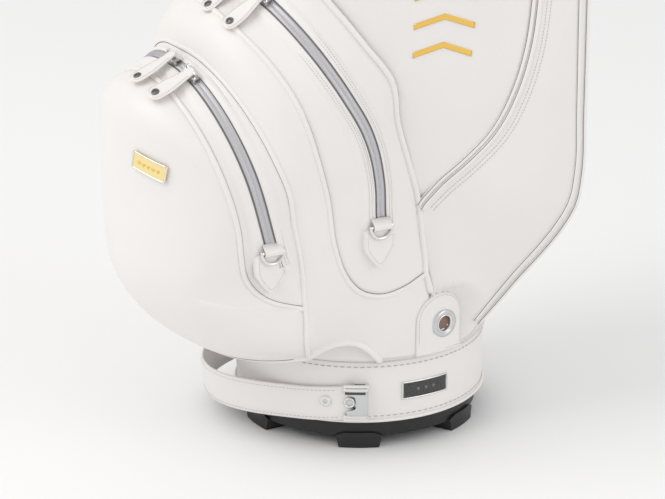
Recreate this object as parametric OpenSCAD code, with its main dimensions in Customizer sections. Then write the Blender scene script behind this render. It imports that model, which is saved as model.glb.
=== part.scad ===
// Golf staff bag, standing upright on its six-lug foot moulding.
// Millimetres, +Z up, -Y is the front (the ball pocket), +X is the owner's right.
// The origin is the centre of the foot moulding on the floor.

/* [Body] */
// Outside radius of the padded body shell
body_r = 121; // [110:1:130]
// Height of the top rim above the floor
bag_h = 890; // [840:1:930]
// Thickness of the padded body shell
shell_t = 5.7; // [4:0.1:7]
// Thickness of the plastic liner tube
liner_t = 2.7; // [2:0.1:4]

/* [Base] */
// Height of the lugs under the foot ring
lug_h = 11; // [8:0.5:14]
// Height of the foot ring above the lugs
ring_h = 16; // [12:0.5:20]
// Outside radius of the foot ring
ring_r = 112; // [104:0.5:114]
// Width of one lug at the floor
lug_w = 38; // [30:1:44]
// Outside radius of the leather collar
collar_r = 118.5; // [117:0.5:120]
// Height of the collar's top edge
collar_top = 89; // [80:1:95]

/* [Ball pocket] */
// Radius of the ball pocket's zip arch
ball_r = 114; // [108:1:118]
// Lean of the ball pocket's zip plane, degrees
ball_tilt = 15.5; // [10:0.5:20]
// Radius of the ball pocket's curved front
ball_front_r = 128; // [122:1:130]

/* [Cooler pocket] */
// Radius of the cooler pocket's zip arch
cool_r = 136; // [130:1:138]
// Lean of the cooler pocket's zip plane, degrees
cool_tilt = 28; // [24:0.5:30]

/* [Side pockets] */
// Half width of the bag over the side pockets
side_x = 176; // [165:1:180]
// Height of the side pockets' top
side_top = 700; // [650:1:720]

/* [Hardware] */
// Wire radius of the D-rings
wire_r = 1.6; // [1.4:0.1:1.8]
// Running clearance of a hinge pin in its bore
pin_gap = 0.05; // [0.03:0.01:0.08]
// Length of a leather zip pull
pull_len = 46; // [38:1:48]
// Width of a leather zip pull
pull_w = 12.5; // [11:0.5:13]

/* [Hidden] */
$fn = 96;
gap = 0.3;                               // between neighbouring pieces
foot_top = lug_h + ring_h;
liner_r = body_r - shell_t - gap;        // outside of the liner tube
inner_r = liner_r - liner_t;             // inside of the liner tube
ball_c = [0, -168, 264];                 // centre of the ball zip's arch
ball_leg = 38;                           // straight zip under the arch
ball_p = 24;                             // front seam ahead of the zip
ball_back = 28;                          // rear seam behind the zip
cool_c = [0, -72, 322];                  // centre of the cooler zip's arch
cool_leg = 88;
cool_p = 20;                             // front seam ahead of the zip
skin = 3;                                // leather and lining of a pocket
hem_z = collar_top + 4;                  // bottom of the pockets
tape_t = 1;                              // zip tape
tape_w = 13;
teeth_t = 1.2;
teeth_w = 4.4;
slider_l = 18;                           // slider along the zip
slider_w = 9;                            // slider across the zip
slider_h = 4.4;
pin_r = 1.2;
pin_up = 2.4;                            // pull pin above the slider
pull_t = 2.4;
ring_up = 4.4;                           // D-ring bar above its tab's back
ring_loop = 3.2;                         // half height of the loop round the bar
loop_w = 17;                             // width of that loop
ball_drop = 10;                          // fall of the resting pulls, degrees
cool_drop = 8;
ball_rest = [22, 6];                     // rest angles of the two ball sliders
cool_rest = [24, 10];
upper_c = [0, -163, 590];                // centre of the upper zip's arch
big = 400;

// ---------- helpers ----------

// A ring standing on the floor plane at z0
module tube(r_out, r_in, z0, z1) {
    translate([0, 0, z0]) difference() {
        cylinder(h = z1 - z0, r = r_out);
        translate([0, 0, -1]) cylinder(h = z1 - z0 + 2, r = r_in);
    }
}

// The wedge of plan between two bearings, measured from the front toward +X
module wedge(a0, a1, z0, z1) {
    steps = 12;
    translate([0, 0, z0]) linear_extrude(z1 - z0)
        polygon(concat([[0, 0]], [for (i = [0:steps])
            let (a = a0 + (a1 - a0) * i / steps) big * [sin(a), -cos(a)]]));
}

// Turns children from the front to a bearing round the body
module at_bearing(a) rotate([0, 0, a]) children();

// Local x stays X, local y runs up the leaning plane, local z points forward
module in_plane(centre, tilt) translate(centre) rotate([90 + tilt, 0, 0]) children();

// An arch: half circle of radius r on legs of length leg
module arch2d(r, leg) {
    circle(r = r);
    translate([-r, -leg]) square([2 * r, leg]);
}

module arch_band(r_out, r_in, leg, v0, v1) {
    translate([0, 0, v0]) linear_extrude(v1 - v0) difference() {
        intersection() {
            arch2d(r_out, leg);
            translate([-big, -leg]) square([2 * big, 2 * big]);
        }
        circle(r = r_in);
        translate([-r_in, -leg - 1]) square([2 * r_in, leg + 1]);
    }
}

// Extrudes children, drawn as X and Z, along Y from y0 to y1
module along_y(y0, y1) translate([0, y1, 0]) rotate([90, 0, 0])
    linear_extrude(y1 - y0) children();

// Extrudes children, drawn as Y and Z, along X over the whole width
module along_x() rotate([90, 0, 90]) translate([0, 0, -big])
    linear_extrude(2 * big) children();

// ---------- base ----------

module foot_moulding() color("#26272a") {
    skirt = 8;
    floor_t = 5;
    difference() {
        translate([0, 0, lug_h]) cylinder(h = ring_h, r = ring_r);
        translate([0, 0, lug_h - 1]) cylinder(h = ring_h - floor_t + 1, r = ring_r - skirt);
    }
    intersection() {
        cylinder(h = foot_top - 1, r = ring_r + 2.5);
        for (i = [0:5]) at_bearing(60 * i)
            translate([0, -ring_r - 4, 0]) rotate([-90, 180, 0])
                linear_extrude(30) polygon([
                    [-lug_w / 2, 0], [lug_w / 2, 0], [lug_w / 2 + 3, lug_h + 1],
                    [lug_w / 2 - 5, lug_h + 4], [-lug_w / 2 + 5, lug_h + 4],
                    [-lug_w / 2 - 3, lug_h + 1]]);
    }
}

module base_pan() color("#303236") {
    pan_r = inner_r - gap;
    translate([0, 0, foot_top]) cylinder(h = 3, r = pan_r);
    tube(pan_r, pan_r - 3, foot_top, collar_top - 9);
}

module collar_band() color("#f2f1ee")
    tube(collar_r, liner_r + gap, foot_top + gap, collar_top);

module collar_plate() color("#3a3a3c") {
    plate_w = 22;                        // degrees of the collar
    intersection() {
        tube(collar_r + gap + 1.4, collar_r + gap, 50, 64);
        wedge(91.5 - plate_w / 2, 91.5 + plate_w / 2, 0, 100);
    }
}

// Plan radius of the strap: it lies on the collar and stands off in one loop
function loop_out(a) = abs(a + 30) < 62 ? 29 * pow(cos(180 * (a + 30) / 124), 2) : 0;
module base_strap() color("#f0efec") {
    strap_h = 34;
    strap_t = 2.6;
    rest_r = collar_r + 2.6;
    steps = 60;
    a0 = -104;
    a1 = 57;
    ring = function (off) [for (i = [0:steps])
        let (a = a0 + (a1 - a0) * i / steps, r = rest_r + off + loop_out(a))
        r * [sin(a), -cos(a)]];
    outer = ring(strap_t);
    inner = ring(0);
    translate([0, 0, 50]) rotate(a = 7, v = [sin(60), -cos(60), 0])
        translate([0, 0, -strap_h / 2]) linear_extrude(strap_h)
            polygon(concat(outer, [for (i = [steps:-1:0]) inner[i]]));
}

module strap_eyelets() color("#c9cacc")
    for (a = [-97, 45.5]) at_bearing(a)
        translate([0, -collar_r - 6, 50]) rotate([90, 0, 0]) difference() {
            cylinder(h = 1.2, r = 5);
            translate([0, 0, -1]) cylinder(h = 3.4, r = 2.4);
        }

module strap_clasp() color("#cfd0d2") {
    frame_h = 36;
    difference() {
        intersection() {
            tube(collar_r + 5, collar_r + gap, 50 - frame_h / 2, 50 + frame_h / 2);
            wedge(58.2, 64.2, 0, 100);
        }
        at_bearing(61.2) translate([-2, -collar_r - 8, 44]) cube([4, 12, 12]);
    }
    for (s = [-1, 1]) intersection() {
        tube(collar_r + 8.6, collar_r + 6.9, 50 + s * 15 - 3, 50 + s * 15 + 3);
        wedge(53.5, 64.2, 0, 100);
    }
    intersection() {
        tube(collar_r + 8.6, collar_r + 4.6, 50 - frame_h / 2, 50 + frame_h / 2);
        wedge(62.6, 64.2, 0, 100);
    }
}

module tab_outline(grow) {
    translate([0, 8]) circle(r = 17 + grow);
    translate([-17 - grow, -28 - grow]) square([34 + 2 * grow, 36 + grow]);
}

// Everything outward of the grommet tab, which lies over the pockets' lower corners
module tab_clear() at_bearing(99) along_y(-big, -100)
    translate([0, 122]) tab_outline(5 + gap);

module grommet_tab() color("#f1f0ed") at_bearing(99)
    difference() {
        intersection() {
            along_y(-big, 0) translate([0, 122]) tab_outline(5);
            tube(body_r + gap + 2.4, body_r + gap, 80, 160);
        }
        along_y(-big, 0) translate([0, 119]) circle(r = 7.4);
    }

module grommet_ring() color("#d0d1d3") at_bearing(99)
    translate([0, -body_r - gap - 2.9 - gap, 119]) rotate([90, 0, 0]) difference() {
        cylinder(h = 2, r = 13);
        translate([0, 0, -1]) cylinder(h = 4, r = 7.6);
    }

// ---------- body ----------

module body_liner() color("#3b3c40")
    tube(liner_r, inner_r, foot_top + gap, bag_h - 78);

module body_shell() color("#f4f3f0")
    tube(body_r, liner_r + gap, collar_top + gap, bag_h - 75);

module spine_strip() color("#efeeeb") intersection() {
    tube(body_r + gap + 3, body_r + gap, collar_top + gap, bag_h - 92);
    translate([-27, 0, 0]) cube([54, big, bag_h]);
}

slot_y = 36;                             // cross bars in front of and behind the middle
bar_w = 12;

module divider_panels() color("#4a4b50") {
    panel_t = 1.6;
    top = bag_h - 24;
    intersection() {
        translate([0, 0, foot_top + 6]) cylinder(h = top - foot_top - 6, r = inner_r - 7);
        union() {
            translate([-panel_t / 2, -big / 2, 0]) cube([panel_t, big, top]);
            for (s = [-1, 1]) translate([-big / 2, s * slot_y - panel_t / 2, 0])
                cube([big, panel_t, top]);
        }
    }
}

module top_moulding() color("#2e2f33") {
    rim_h = 18;
    skirt_r = inner_r - gap;
    tube(body_r + 11, inner_r - 6, bag_h - rim_h, bag_h);
    tube(skirt_r, inner_r - 6, bag_h - 76, bag_h - rim_h + 1);
    intersection() {
        translate([0, 0, bag_h - rim_h - 5]) cylinder(h = rim_h + 3, r = inner_r - 5);
        difference() {
            union() {
                translate([-bar_w / 2, -big / 2, 0]) cube([bar_w, big, bag_h]);
                for (s = [-1, 1]) translate([-big / 2, s * slot_y - bar_w / 2, 0])
                    cube([big, bar_w, bag_h]);
            }
            // each bar is slotted over its divider panel
            translate([-1.1, -big / 2, 0]) cube([2.2, big, bag_h - 23]);
            for (s = [-1, 1]) translate([-big / 2, s * slot_y - 1.1, 0])
                cube([big, 2.2, bag_h - 23]);
        }
    }
}

module cuff_band() color("#f3f2ef") {
    tube(body_r + 8, body_r + gap, bag_h - 88, bag_h - 18 - gap);
}

module lift_handle() color("#303135") {
    grip_r = 46;
    intersection() {
        translate([0, -body_r - 12, bag_h - 18]) difference() {
            cylinder(h = 18, r = grip_r);
            translate([0, 0, -1]) cylinder(h = 20, r = grip_r - 15);
        }
        difference() {
            translate([-big / 2, -big, bag_h - 20]) cube([big, big, 40]);
            translate([0, 0, bag_h - 30]) cylinder(h = 50, r = body_r + 11 + gap);
        }
    }
}

module carry_handle() color("#eeedea") {
    // a leather grip on the spine, standing off it
    handle_z = 470;
    translate([-13, body_r + 3 + 2 * gap, handle_z]) rotate([90, 0, 90])
        linear_extrude(26) difference() {
            translate([-150, 0]) circle(r = 178);
            translate([-150, 0]) circle(r = 171);
            translate([-big - 10, -big]) square([big + 10, 2 * big]);
        }
}

// ---------- front pockets ----------

// Outside of the ball pocket in plan, in side view and in its own arch, drawn in by i
module ball_solid(i) intersection() {
    in_plane(ball_c, ball_tilt) union() {
        translate([0, 0, -ball_back]) linear_extrude(ball_back + ball_p)
            arch2d(ball_r - i, 190);
        translate([0, 0, ball_p]) cylinder(h = 100, r1 = ball_r - 5 - i, r2 = ball_r - 37 - i);
        translate([-ball_r + 5 + i, -190, ball_p]) cube([2 * (ball_r - 5 - i), 190, 90]);
    }
    translate([0, 0, 50]) linear_extrude(big) union() {
        translate([0, -ball_front_r]) circle(r = ball_front_r - i);
        translate([-ball_r + i, -ball_front_r]) square([2 * (ball_r - i), 150]);
    }
    along_x() polygon([[-60, hem_z + i], [-167 + i, hem_z + i], [-208 + i, 124 + i],
        [-246 + i, 165 + i], [-260, 200], [-262, 300], [-248 + i, 347 - i],
        [-218 + i, 366 - i], [-150, 392 - i], [-60, 392 - i]]);
}

// Everything of the ball pocket lies ahead of this plane
module ball_side(v0, v1) in_plane(ball_c, ball_tilt)
    translate([-big, -big, v0]) cube([2 * big, 2 * big, v1 - v0]);

module body_clear() cylinder(h = bag_h, r = body_r + gap);

module ball_pocket_front() color("#f5f4f1") difference() {
    ball_solid(0);
    ball_solid(skin);
    ball_side(-big, ball_p - 12);
    body_clear();
}

module ball_pocket_gusset() color("#f3f2ef") difference() {
    intersection() {
        ball_solid(0);
        ball_side(-ball_back, ball_p - 12 - gap);
    }
    ball_solid(skin);
    body_clear();
}

module zip_track(r, leg) {
    arch_band(r + gap + tape_t, r + gap, leg, -tape_w / 2, tape_w / 2);
    arch_band(r + gap + tape_t + teeth_t, r + gap, leg, -teeth_w / 2, teeth_w / 2);
}

// A slider on an arch of radius r; a is its angle from the top toward +X
module slider_body(r) {
    base = r + 2 * gap + tape_t;
    up = teeth_t + gap;
    translate([-slider_l / 2, base, -slider_w / 2]) difference() {
        cube([slider_l, slider_h, slider_w]);
        translate([-1, -1, slider_w / 2 - teeth_w / 2 - gap])
            cube([slider_l + 2, up + 2.2, teeth_w + 2 * gap]);
    }
    for (s = [-1, 1]) translate([s * (slider_l / 2 - 0.9) - 0.9, base + slider_h - 0.5, -2])
        cube([1.8, pin_up + 2, 4]);
    translate([-slider_l / 2 + 0.5, base + slider_h + pin_up, 0]) rotate([0, 90, 0])
        cylinder(h = slider_l - 1, r = pin_r, $fn = 32);
}

// A leather pull on that slider, lying forward and down by drop degrees
module pull_body(r, drop) {
    w = pull_w;
    translate([0, r + 2 * gap + tape_t + slider_h + pin_up, 0]) rotate([drop, 0, 0])
        difference() {
            union() {
                translate([-w / 2, -pull_t / 2, 0]) cube([w, pull_t, pull_len - w / 2]);
                translate([0, pull_t / 2, pull_len - w / 2]) rotate([90, 0, 0])
                    cylinder(h = pull_t, r = w / 2);
                translate([-w / 2, 0, 0]) rotate([0, 90, 0])
                    cylinder(h = w, r = pin_r + 1.1, $fn = 32);
                translate([0, pull_t / 2 + 0.8, pull_len - w / 2 - 1])
                    rotate([90, 0, 0]) cylinder(h = 1.2, r = 3.2, $fn = 32);
            }
            translate([-w / 2 - 1, 0, 0]) rotate([0, 90, 0])
                cylinder(h = w + 2, r = pin_r + pin_gap, $fn = 32);
        }
}

module on_ball(a) in_plane(ball_c, ball_tilt) rotate([0, 0, -a]) children();
module on_cool(a) in_plane(cool_c, cool_tilt) rotate([0, 0, -a]) children();

module ball_zip() color("#b9babd") in_plane(ball_c, ball_tilt) zip_track(ball_r, ball_leg);
module ball_slider_r() color("#c4c5c8") on_ball(ball_rest[0]) slider_body(ball_r);
module ball_slider_l() color("#c4c5c8") on_ball(ball_rest[1]) slider_body(ball_r);
module ball_pull_r() color("#efeeeb") on_ball(ball_rest[0]) pull_body(ball_r, ball_drop);
module ball_pull_l() color("#efeeeb") on_ball(ball_rest[1]) pull_body(ball_r, ball_drop);

// A leather tab with a bored loop for a D-ring; it points down from p, on the right side
module ring_tab(p) translate(p) rotate([90, 0, 90]) difference() {
    union() {
        linear_extrude(2.2) polygon([[-9, 5], [9, 5], [9, -5], [17, -7], [17, -14],
            [0, -40], [-17, -14], [-17, -7], [-9, -5]]);
        translate([-loop_w / 2, -ring_loop, 0])
            cube([loop_w, 2 * ring_loop + 3, ring_up + ring_loop]);
    }
    translate([-30, 0, ring_up]) rotate([0, 90, 0])
        cylinder(h = 60, r = wire_r + pin_gap, $fn = 48);
}

// A D of wire: a straight bar across the top and a half circle hanging from it
module d_wire(half_w) {
    translate([-half_w, 0, 0]) rotate([0, 90, 0])
        cylinder(h = 2 * half_w, r = wire_r, $fn = 48);
    rotate([180, 0, 0]) rotate_extrude(angle = 180) translate([half_w, 0])
        circle(r = wire_r, $fn = 48);
    for (s = [-1, 1]) translate([s * half_w, 0, 0]) sphere(r = wire_r, $fn = 48);
}

module d_ring(p) translate(p) rotate([90, 0, 90]) translate([0, 0, ring_up])
    d_wire(11.2);

ball_tab_p = [ball_r + gap, -157, 218];
cool_tab_p = [cool_r + gap, -58, 232];

module ball_tab_r() color("#eeedea") ring_tab(ball_tab_p);
module ball_tab_l() color("#eeedea") mirror([1, 0, 0]) ring_tab(ball_tab_p);
module ball_ring_r() color("#c6c7ca") d_ring(ball_tab_p);
module ball_ring_l() color("#c6c7ca") mirror([1, 0, 0]) d_ring(ball_tab_p);

badge_w = 39;
badge_h = 15.5;
badge_z = 293;                           // middle of the badge

// A plate bent to the ball pocket's front, right of its middle and turned a little
module badge_plate() color("#c9a24a") translate([0, -ball_front_r, badge_z]) at_bearing(24)
    intersection() {
        difference() {
            translate([0, 0, -badge_w / 2]) cylinder(h = badge_w, r = ball_front_r + gap + 1.5);
            translate([0, 0, -badge_w]) cylinder(h = 2 * badge_w, r = ball_front_r + gap);
        }
        rotate([0, 13, 0]) translate([-badge_w / 2, -big, -badge_h / 2])
            cube([badge_w, big - 60, badge_h]);
    }

// Outside of the cooler pocket with an arch of radius r, drawn in by i
module cool_solid(r, i) intersection() {
    union() {
        in_plane(cool_c, cool_tilt)
            translate([0, 0, -70]) linear_extrude(130) arch2d(r - i, cool_leg);
        translate([-r + i, -175, hem_z]) cube([2 * (r - i), 175, 185]);
    }
    translate([0, 0, 50]) linear_extrude(big) polygon([
        [-122 + i, 0], [-136 + i, -45], [-136 + i, -80], [-130 + i, -110],
        [-119 + i, -140 + i], [-96, -200 + i], [96, -200 + i], [119 - i, -140 + i],
        [130 - i, -110], [136 - i, -80], [136 - i, -45], [122 - i, 0]]);
    along_x() polygon([[0, hem_z + i], [-140, hem_z + i], [-190, 380],
        [-180 + i, 426 - i], [-168 + i, 430 - i], [-120, 470 - i], [0, 470 - i]]);
}

module cool_side(v0, v1) in_plane(cool_c, cool_tilt)
    translate([-big, -big, v0]) cube([2 * big, 2 * big, v1 - v0]);

module cooler_pocket_front() color("#f5f4f1") difference() {
    cool_solid(cool_r - 3, 0);
    cool_solid(cool_r - 3, skin);
    cool_side(-big, cool_p);
    ball_side(-ball_back - gap, big);
    body_clear();
    tab_clear();
}

module cooler_pocket_gusset() color("#f3f2ef") difference() {
    cool_solid(cool_r, 0);
    cool_solid(cool_r, skin);
    cool_side(cool_p - gap, big);
    ball_side(-ball_back - gap, big);
    body_clear();
}

module cooler_zip() color("#b9babd") in_plane(cool_c, cool_tilt) zip_track(cool_r, 20);
module cooler_slider_r() color("#c4c5c8") on_cool(cool_rest[0]) slider_body(cool_r);
module cooler_slider_l() color("#c4c5c8") on_cool(cool_rest[1]) slider_body(cool_r);
module cooler_pull_r() color("#efeeeb") on_cool(cool_rest[0]) pull_body(cool_r, cool_drop);
module cooler_pull_l() color("#efeeeb") on_cool(cool_rest[1]) pull_body(cool_r, cool_drop);
module cooler_tab_r() color("#eeedea") ring_tab(cool_tab_p);
module cooler_tab_l() color("#eeedea") mirror([1, 0, 0]) ring_tab(cool_tab_p);
module cooler_ring_r() color("#c6c7ca") d_ring(cool_tab_p);
module cooler_ring_l() color("#c6c7ca") mirror([1, 0, 0]) d_ring(cool_tab_p);

// ---------- side pockets ----------

module side_solid() difference() {
    intersection() {
        translate([0, 0, 90]) linear_extrude(side_top - 90) polygon([
            [100, 2], [130, 2], [150, 22], [166, 52], [side_x, 88], [side_x - 1, 112],
            [164, 130], [140, 138], [60, 138], [60, 90]]);
        along_y(0, big) polygon([[50, 92], [117, 96], [131, 135], [154, 181], [166, 206],
            [175, 233], [side_x + 1, 300], [side_x + 1, 620], [166, 672], [140, side_top],
            [50, side_top]]);
        along_x() polygon([[2, 112], [30, 108], [47, 96], [76, 135], [104, 181], [131, 233],
            [139, 256], [139, side_top], [2, side_top]]);
    }
    body_clear();
}

side_zip_x = 126;                        // the zip runs up the rear face
side_face_y = 138;
side_zip_z = [280, 640];

module side_zip_body() {
    translate([side_zip_x - tape_w / 2, side_face_y + gap, side_zip_z[0]])
        cube([tape_w, tape_t, side_zip_z[1] - side_zip_z[0]]);
    translate([side_zip_x - teeth_w / 2, side_face_y + gap, side_zip_z[0]])
        cube([teeth_w, tape_t + teeth_t, side_zip_z[1] - side_zip_z[0]]);
}

// The slider and pull of an arch zip, turned to hang on a flat rear face
module on_side() translate([side_zip_x, side_face_y, side_zip_z[1] - 14])
    rotate([0, 0, 180]) rotate([90, 0, 0]) rotate([0, 0, -90]) children();

module face_slider() {
    base = 2 * gap + tape_t;
    difference() {
        translate([-slider_l / 2, -slider_w / 2, base]) cube([slider_l, slider_w, slider_h]);
        translate([-slider_l / 2 - 1, -teeth_w / 2 - gap, base - 1])
            cube([slider_l + 2, teeth_w + 2 * gap, teeth_t + gap + 2.2]);
    }
    for (s = [-1, 1]) translate([2, s * (pull_w / 2 + 1.2) - 0.8, base + slider_h - 0.8])
        cube([4, 1.6, pin_up + 2.6]);
    translate([2, -pull_w / 2 - 1.6, base + slider_h - 0.8]) cube([4, pull_w + 3.2, 0.8]);
    translate([4, -pull_w / 2 - 1.6, base + slider_h + pin_up]) rotate([-90, 0, 0])
        cylinder(h = pull_w + 3.2, r = pin_r, $fn = 32);
}

module face_pull() translate([4, 0, 2 * gap + tape_t + slider_h + pin_up]) difference() {
    union() {
        translate([0, -pull_w / 2, -pull_t / 2]) cube([pull_len - pull_w / 2, pull_w, pull_t]);
        translate([pull_len - pull_w / 2, 0, -pull_t / 2]) cylinder(h = pull_t, r = pull_w / 2);
        translate([0, -pull_w / 2, 0]) rotate([-90, 0, 0])
            cylinder(h = pull_w, r = pin_r + 1.1, $fn = 32);
        translate([pull_len - pull_w / 2 - 1, 0, -pull_t / 2 + 1.6])
            cylinder(h = 1.4, r = 3.2, $fn = 32);
    }
    translate([0, -pull_w / 2 - 1, 0]) rotate([-90, 0, 0])
        cylinder(h = pull_w + 2, r = pin_r + pin_gap, $fn = 32);
}

module side_pocket_r() color("#f4f3f0") difference() {
    side_solid();
    tab_clear();
}
module side_pocket_l() color("#f4f3f0") mirror([1, 0, 0]) side_solid();
module side_zip_r() color("#b9babd") side_zip_body();
module side_zip_l() color("#b9babd") mirror([1, 0, 0]) side_zip_body();
module side_slider_r() color("#c4c5c8") on_side() face_slider();
module side_slider_l() color("#c4c5c8") mirror([1, 0, 0]) on_side() face_slider();
module side_pull_r() color("#efeeeb") on_side() face_pull();
module side_pull_l() color("#efeeeb") mirror([1, 0, 0]) on_side() face_pull();

// ---------- upper pocket ----------

module upper_pocket() color("#f4f3f0") difference() {
    intersection() {
        along_y(upper_c[1], 0) union() {
            translate([0, upper_c[2]]) circle(r = 84);
            translate([-84, 510]) square([168, 80]);
        }
        translate([0, 0, 400]) linear_extrude(big) polygon([[-84, 0], [-84, -128],
            [-70, -150], [-52, upper_c[1]], [52, upper_c[1]], [70, -150], [84, -128], [84, 0]]);
    }
    body_clear();
}

// The upper zip lies on the flat front face
module on_upper() translate(upper_c) rotate([90, 0, 0]) children();

module upper_zip() color("#b9babd") on_upper() {
    intersection() {
        union() {
            translate([0, 0, gap]) difference() {
                cylinder(h = tape_t, r = 44 + tape_w / 2);
                translate([0, 0, -1]) cylinder(h = 3, r = 44 - tape_w / 2);
            }
            translate([0, 0, gap]) difference() {
                cylinder(h = tape_t + teeth_t, r = 44 + teeth_w / 2);
                translate([0, 0, -1]) cylinder(h = 5, r = 44 - teeth_w / 2);
            }
        }
        translate([-big, 0, -1]) cube([2 * big, big, 10]);
    }
}

module upper_slider() color("#c4c5c8") on_upper() translate([0, 44, 0]) {
    base = 2 * gap + tape_t;
    difference() {
        translate([-8, -slider_w / 2, base]) cube([16, slider_w, slider_h]);
        translate([0, -44, base - 1]) difference() {
            cylinder(h = teeth_t + 3.2, r = 44 + teeth_w / 2 + gap);
            translate([0, 0, -1]) cylinder(h = 9, r = 44 - teeth_w / 2 - gap);
        }
    }
    translate([0, 0, base + slider_h - 0.5]) cylinder(h = pull_t + 1.6, r = 1.8, $fn = 32);
    translate([0, 0, base + slider_h + pull_t + 0.7]) cylinder(h = 1, r = 3.2, $fn = 32);
}

module upper_pull() color("#efeeeb") on_upper()
    translate([0, 44, 2 * gap + tape_t + slider_h + 0.3]) difference() {
        union() {
            cylinder(h = pull_t, r = pull_w / 2);
            translate([-pull_w / 2, -pull_len + pull_w, 0])
                cube([pull_w, pull_len - pull_w, pull_t]);
            translate([0, -pull_len + pull_w, 0]) cylinder(h = pull_t, r = pull_w / 2);
        }
        translate([0, 0, -1]) cylinder(h = 9, r = 1.8 + pin_gap, $fn = 32);
    }

// ---------- carrying ----------

strap_z = [330, 780];                    // heights of the strap's two anchors
strap_y = body_r + 3 + 18;               // line through both anchor pins

module strap_anchors() color("#c6c7ca") for (z = strap_z) {
    translate([-14, body_r + 3 + 2 * gap, z - 16]) cube([28, 2.4, 32]);
    for (s = [-1, 1]) translate([-6, body_r + 3 + 2 * gap, z + s * 12 - 2])
        cube([12, 20, 4]);
    translate([0, strap_y, z - 13]) cylinder(h = 26, r = 3, $fn = 48);
}

strap_t = 3.2;
pad_t = 12;
strap_mid = (strap_z[0] + strap_z[1]) / 2;
strap_half = (strap_z[1] - strap_z[0]) / 2;
// The strap hangs out behind as far as the ball pocket stands out in front
strap_sag = 2 * ball_front_r - strap_y - 6 - strap_t / 2 - gap - pad_t;
strap_bow = (strap_half * strap_half + strap_sag * strap_sag) / (2 * strap_sag);
strap_c = strap_y + 6 + strap_sag - strap_bow;

module strap_arc(r_out, r_in, w, z0, z1) translate([-w / 2, 0, 0]) rotate([90, 0, 90])
    linear_extrude(w) intersection() {
        translate([strap_c, strap_mid]) difference() {
            circle(r = r_out, $fn = 180);
            circle(r = r_in, $fn = 180);
        }
        translate([0, z0]) square([big, z1 - z0]);
    }

module shoulder_strap() color("#eeedea") {
    strap_arc(strap_bow + strap_t / 2, strap_bow - strap_t / 2, 38, strap_z[0], strap_z[1]);
    for (z = strap_z) difference() {
        translate([0, strap_y, z - 9.4]) cylinder(h = 18.8, r = 6.4, $fn = 48);
        translate([0, strap_y, z - 11]) cylinder(h = 22, r = 3 + pin_gap, $fn = 48);
    }
    for (s = [-1, 1]) translate([-8, strap_y + 3.6,
        strap_mid + s * strap_half - 9.4]) cube([16, 4.4, 18.8]);
}

module strap_pad() color("#f2f1ee")
    strap_arc(strap_bow + strap_t / 2 + gap + pad_t, strap_bow + strap_t / 2 + gap, 62,
        strap_mid - 130, strap_mid + 130);

towel_p = [body_r + gap, 0, 776];
module towel_side() rotate([0, 0, 200]) children();

module towel_tab() color("#eeedea") towel_side() translate(towel_p)
    rotate([90, 0, 90]) difference() {
        union() {
            translate([-11, -4, 0]) cube([22, 24, 2.2]);
            translate([-5, -ring_loop, 0]) cube([10, 2 * ring_loop + 3, ring_up + ring_loop]);
        }
        translate([-30, 0, ring_up]) rotate([0, 90, 0])
            cylinder(h = 60, r = wire_r + pin_gap, $fn = 48);
    }

module towel_ring() color("#c6c7ca") towel_side() translate(towel_p)
    rotate([90, 0, 90]) translate([0, 0, ring_up]) d_wire(19);

module umbrella_loop() color("#eeedea") {
    // leather loop that holds an umbrella's shaft against the body, above the grommet
    at_bearing(66) translate([0, -body_r - gap - 21, 750]) difference() {
        cylinder(h = 26, r = 23);
        translate([0, 0, -1]) cylinder(h = 28, r = 20.5);
        translate([0, body_r + gap + 21, -1]) cylinder(h = 28, r = body_r + gap);
    }
}

foot_moulding();
base_pan();
collar_band();
collar_plate();
base_strap();
strap_eyelets();
strap_clasp();
grommet_tab();
grommet_ring();
body_liner();
body_shell();
spine_strip();
divider_panels();
top_moulding();
cuff_band();
lift_handle();
carry_handle();
ball_pocket_front();
ball_pocket_gusset();
ball_zip();
ball_slider_r();
ball_slider_l();
ball_pull_r();
ball_pull_l();
ball_tab_r();
ball_tab_l();
ball_ring_r();
ball_ring_l();
badge_plate();
cooler_pocket_front();
cooler_pocket_gusset();
cooler_zip();
cooler_slider_r();
cooler_slider_l();
cooler_pull_r();
cooler_pull_l();
cooler_tab_r();
cooler_tab_l();
cooler_ring_r();
cooler_ring_l();
side_pocket_r();
side_pocket_l();
side_zip_r();
side_zip_l();
side_slider_r();
side_slider_l();
side_pull_r();
side_pull_l();
upper_pocket();
upper_zip();
upper_slider();
upper_pull();
strap_anchors();
shoulder_strap();
strap_pad();
towel_tab();
towel_ring();
umbrella_loop();
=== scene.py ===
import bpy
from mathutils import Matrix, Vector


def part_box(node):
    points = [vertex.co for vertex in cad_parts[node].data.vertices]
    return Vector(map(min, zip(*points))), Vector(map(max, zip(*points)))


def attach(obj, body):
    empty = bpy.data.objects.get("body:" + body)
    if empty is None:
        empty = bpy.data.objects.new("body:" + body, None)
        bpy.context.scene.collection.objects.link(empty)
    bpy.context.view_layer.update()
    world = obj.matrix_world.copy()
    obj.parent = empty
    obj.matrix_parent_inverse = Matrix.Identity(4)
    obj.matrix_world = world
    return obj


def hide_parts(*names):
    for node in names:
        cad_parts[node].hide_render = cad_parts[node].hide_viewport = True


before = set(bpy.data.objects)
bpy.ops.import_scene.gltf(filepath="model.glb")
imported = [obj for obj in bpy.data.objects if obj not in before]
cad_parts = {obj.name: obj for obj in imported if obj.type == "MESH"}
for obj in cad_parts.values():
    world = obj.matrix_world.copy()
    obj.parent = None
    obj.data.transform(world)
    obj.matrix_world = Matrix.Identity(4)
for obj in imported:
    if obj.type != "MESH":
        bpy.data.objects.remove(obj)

"""A white leather golf staff bag on its black foot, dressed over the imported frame.

Shapes are worked out in millimetres, with +Z up and -Y to the front, and are
scaled to metres when a mesh is made. Seams are curves on the right-hand side,
mirrored to the left. Panels are grids stretched between seams.
"""
import logging
import math
from dataclasses import dataclass, field
from enum import Enum

import bmesh
import bpy
import numpy as np

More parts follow.
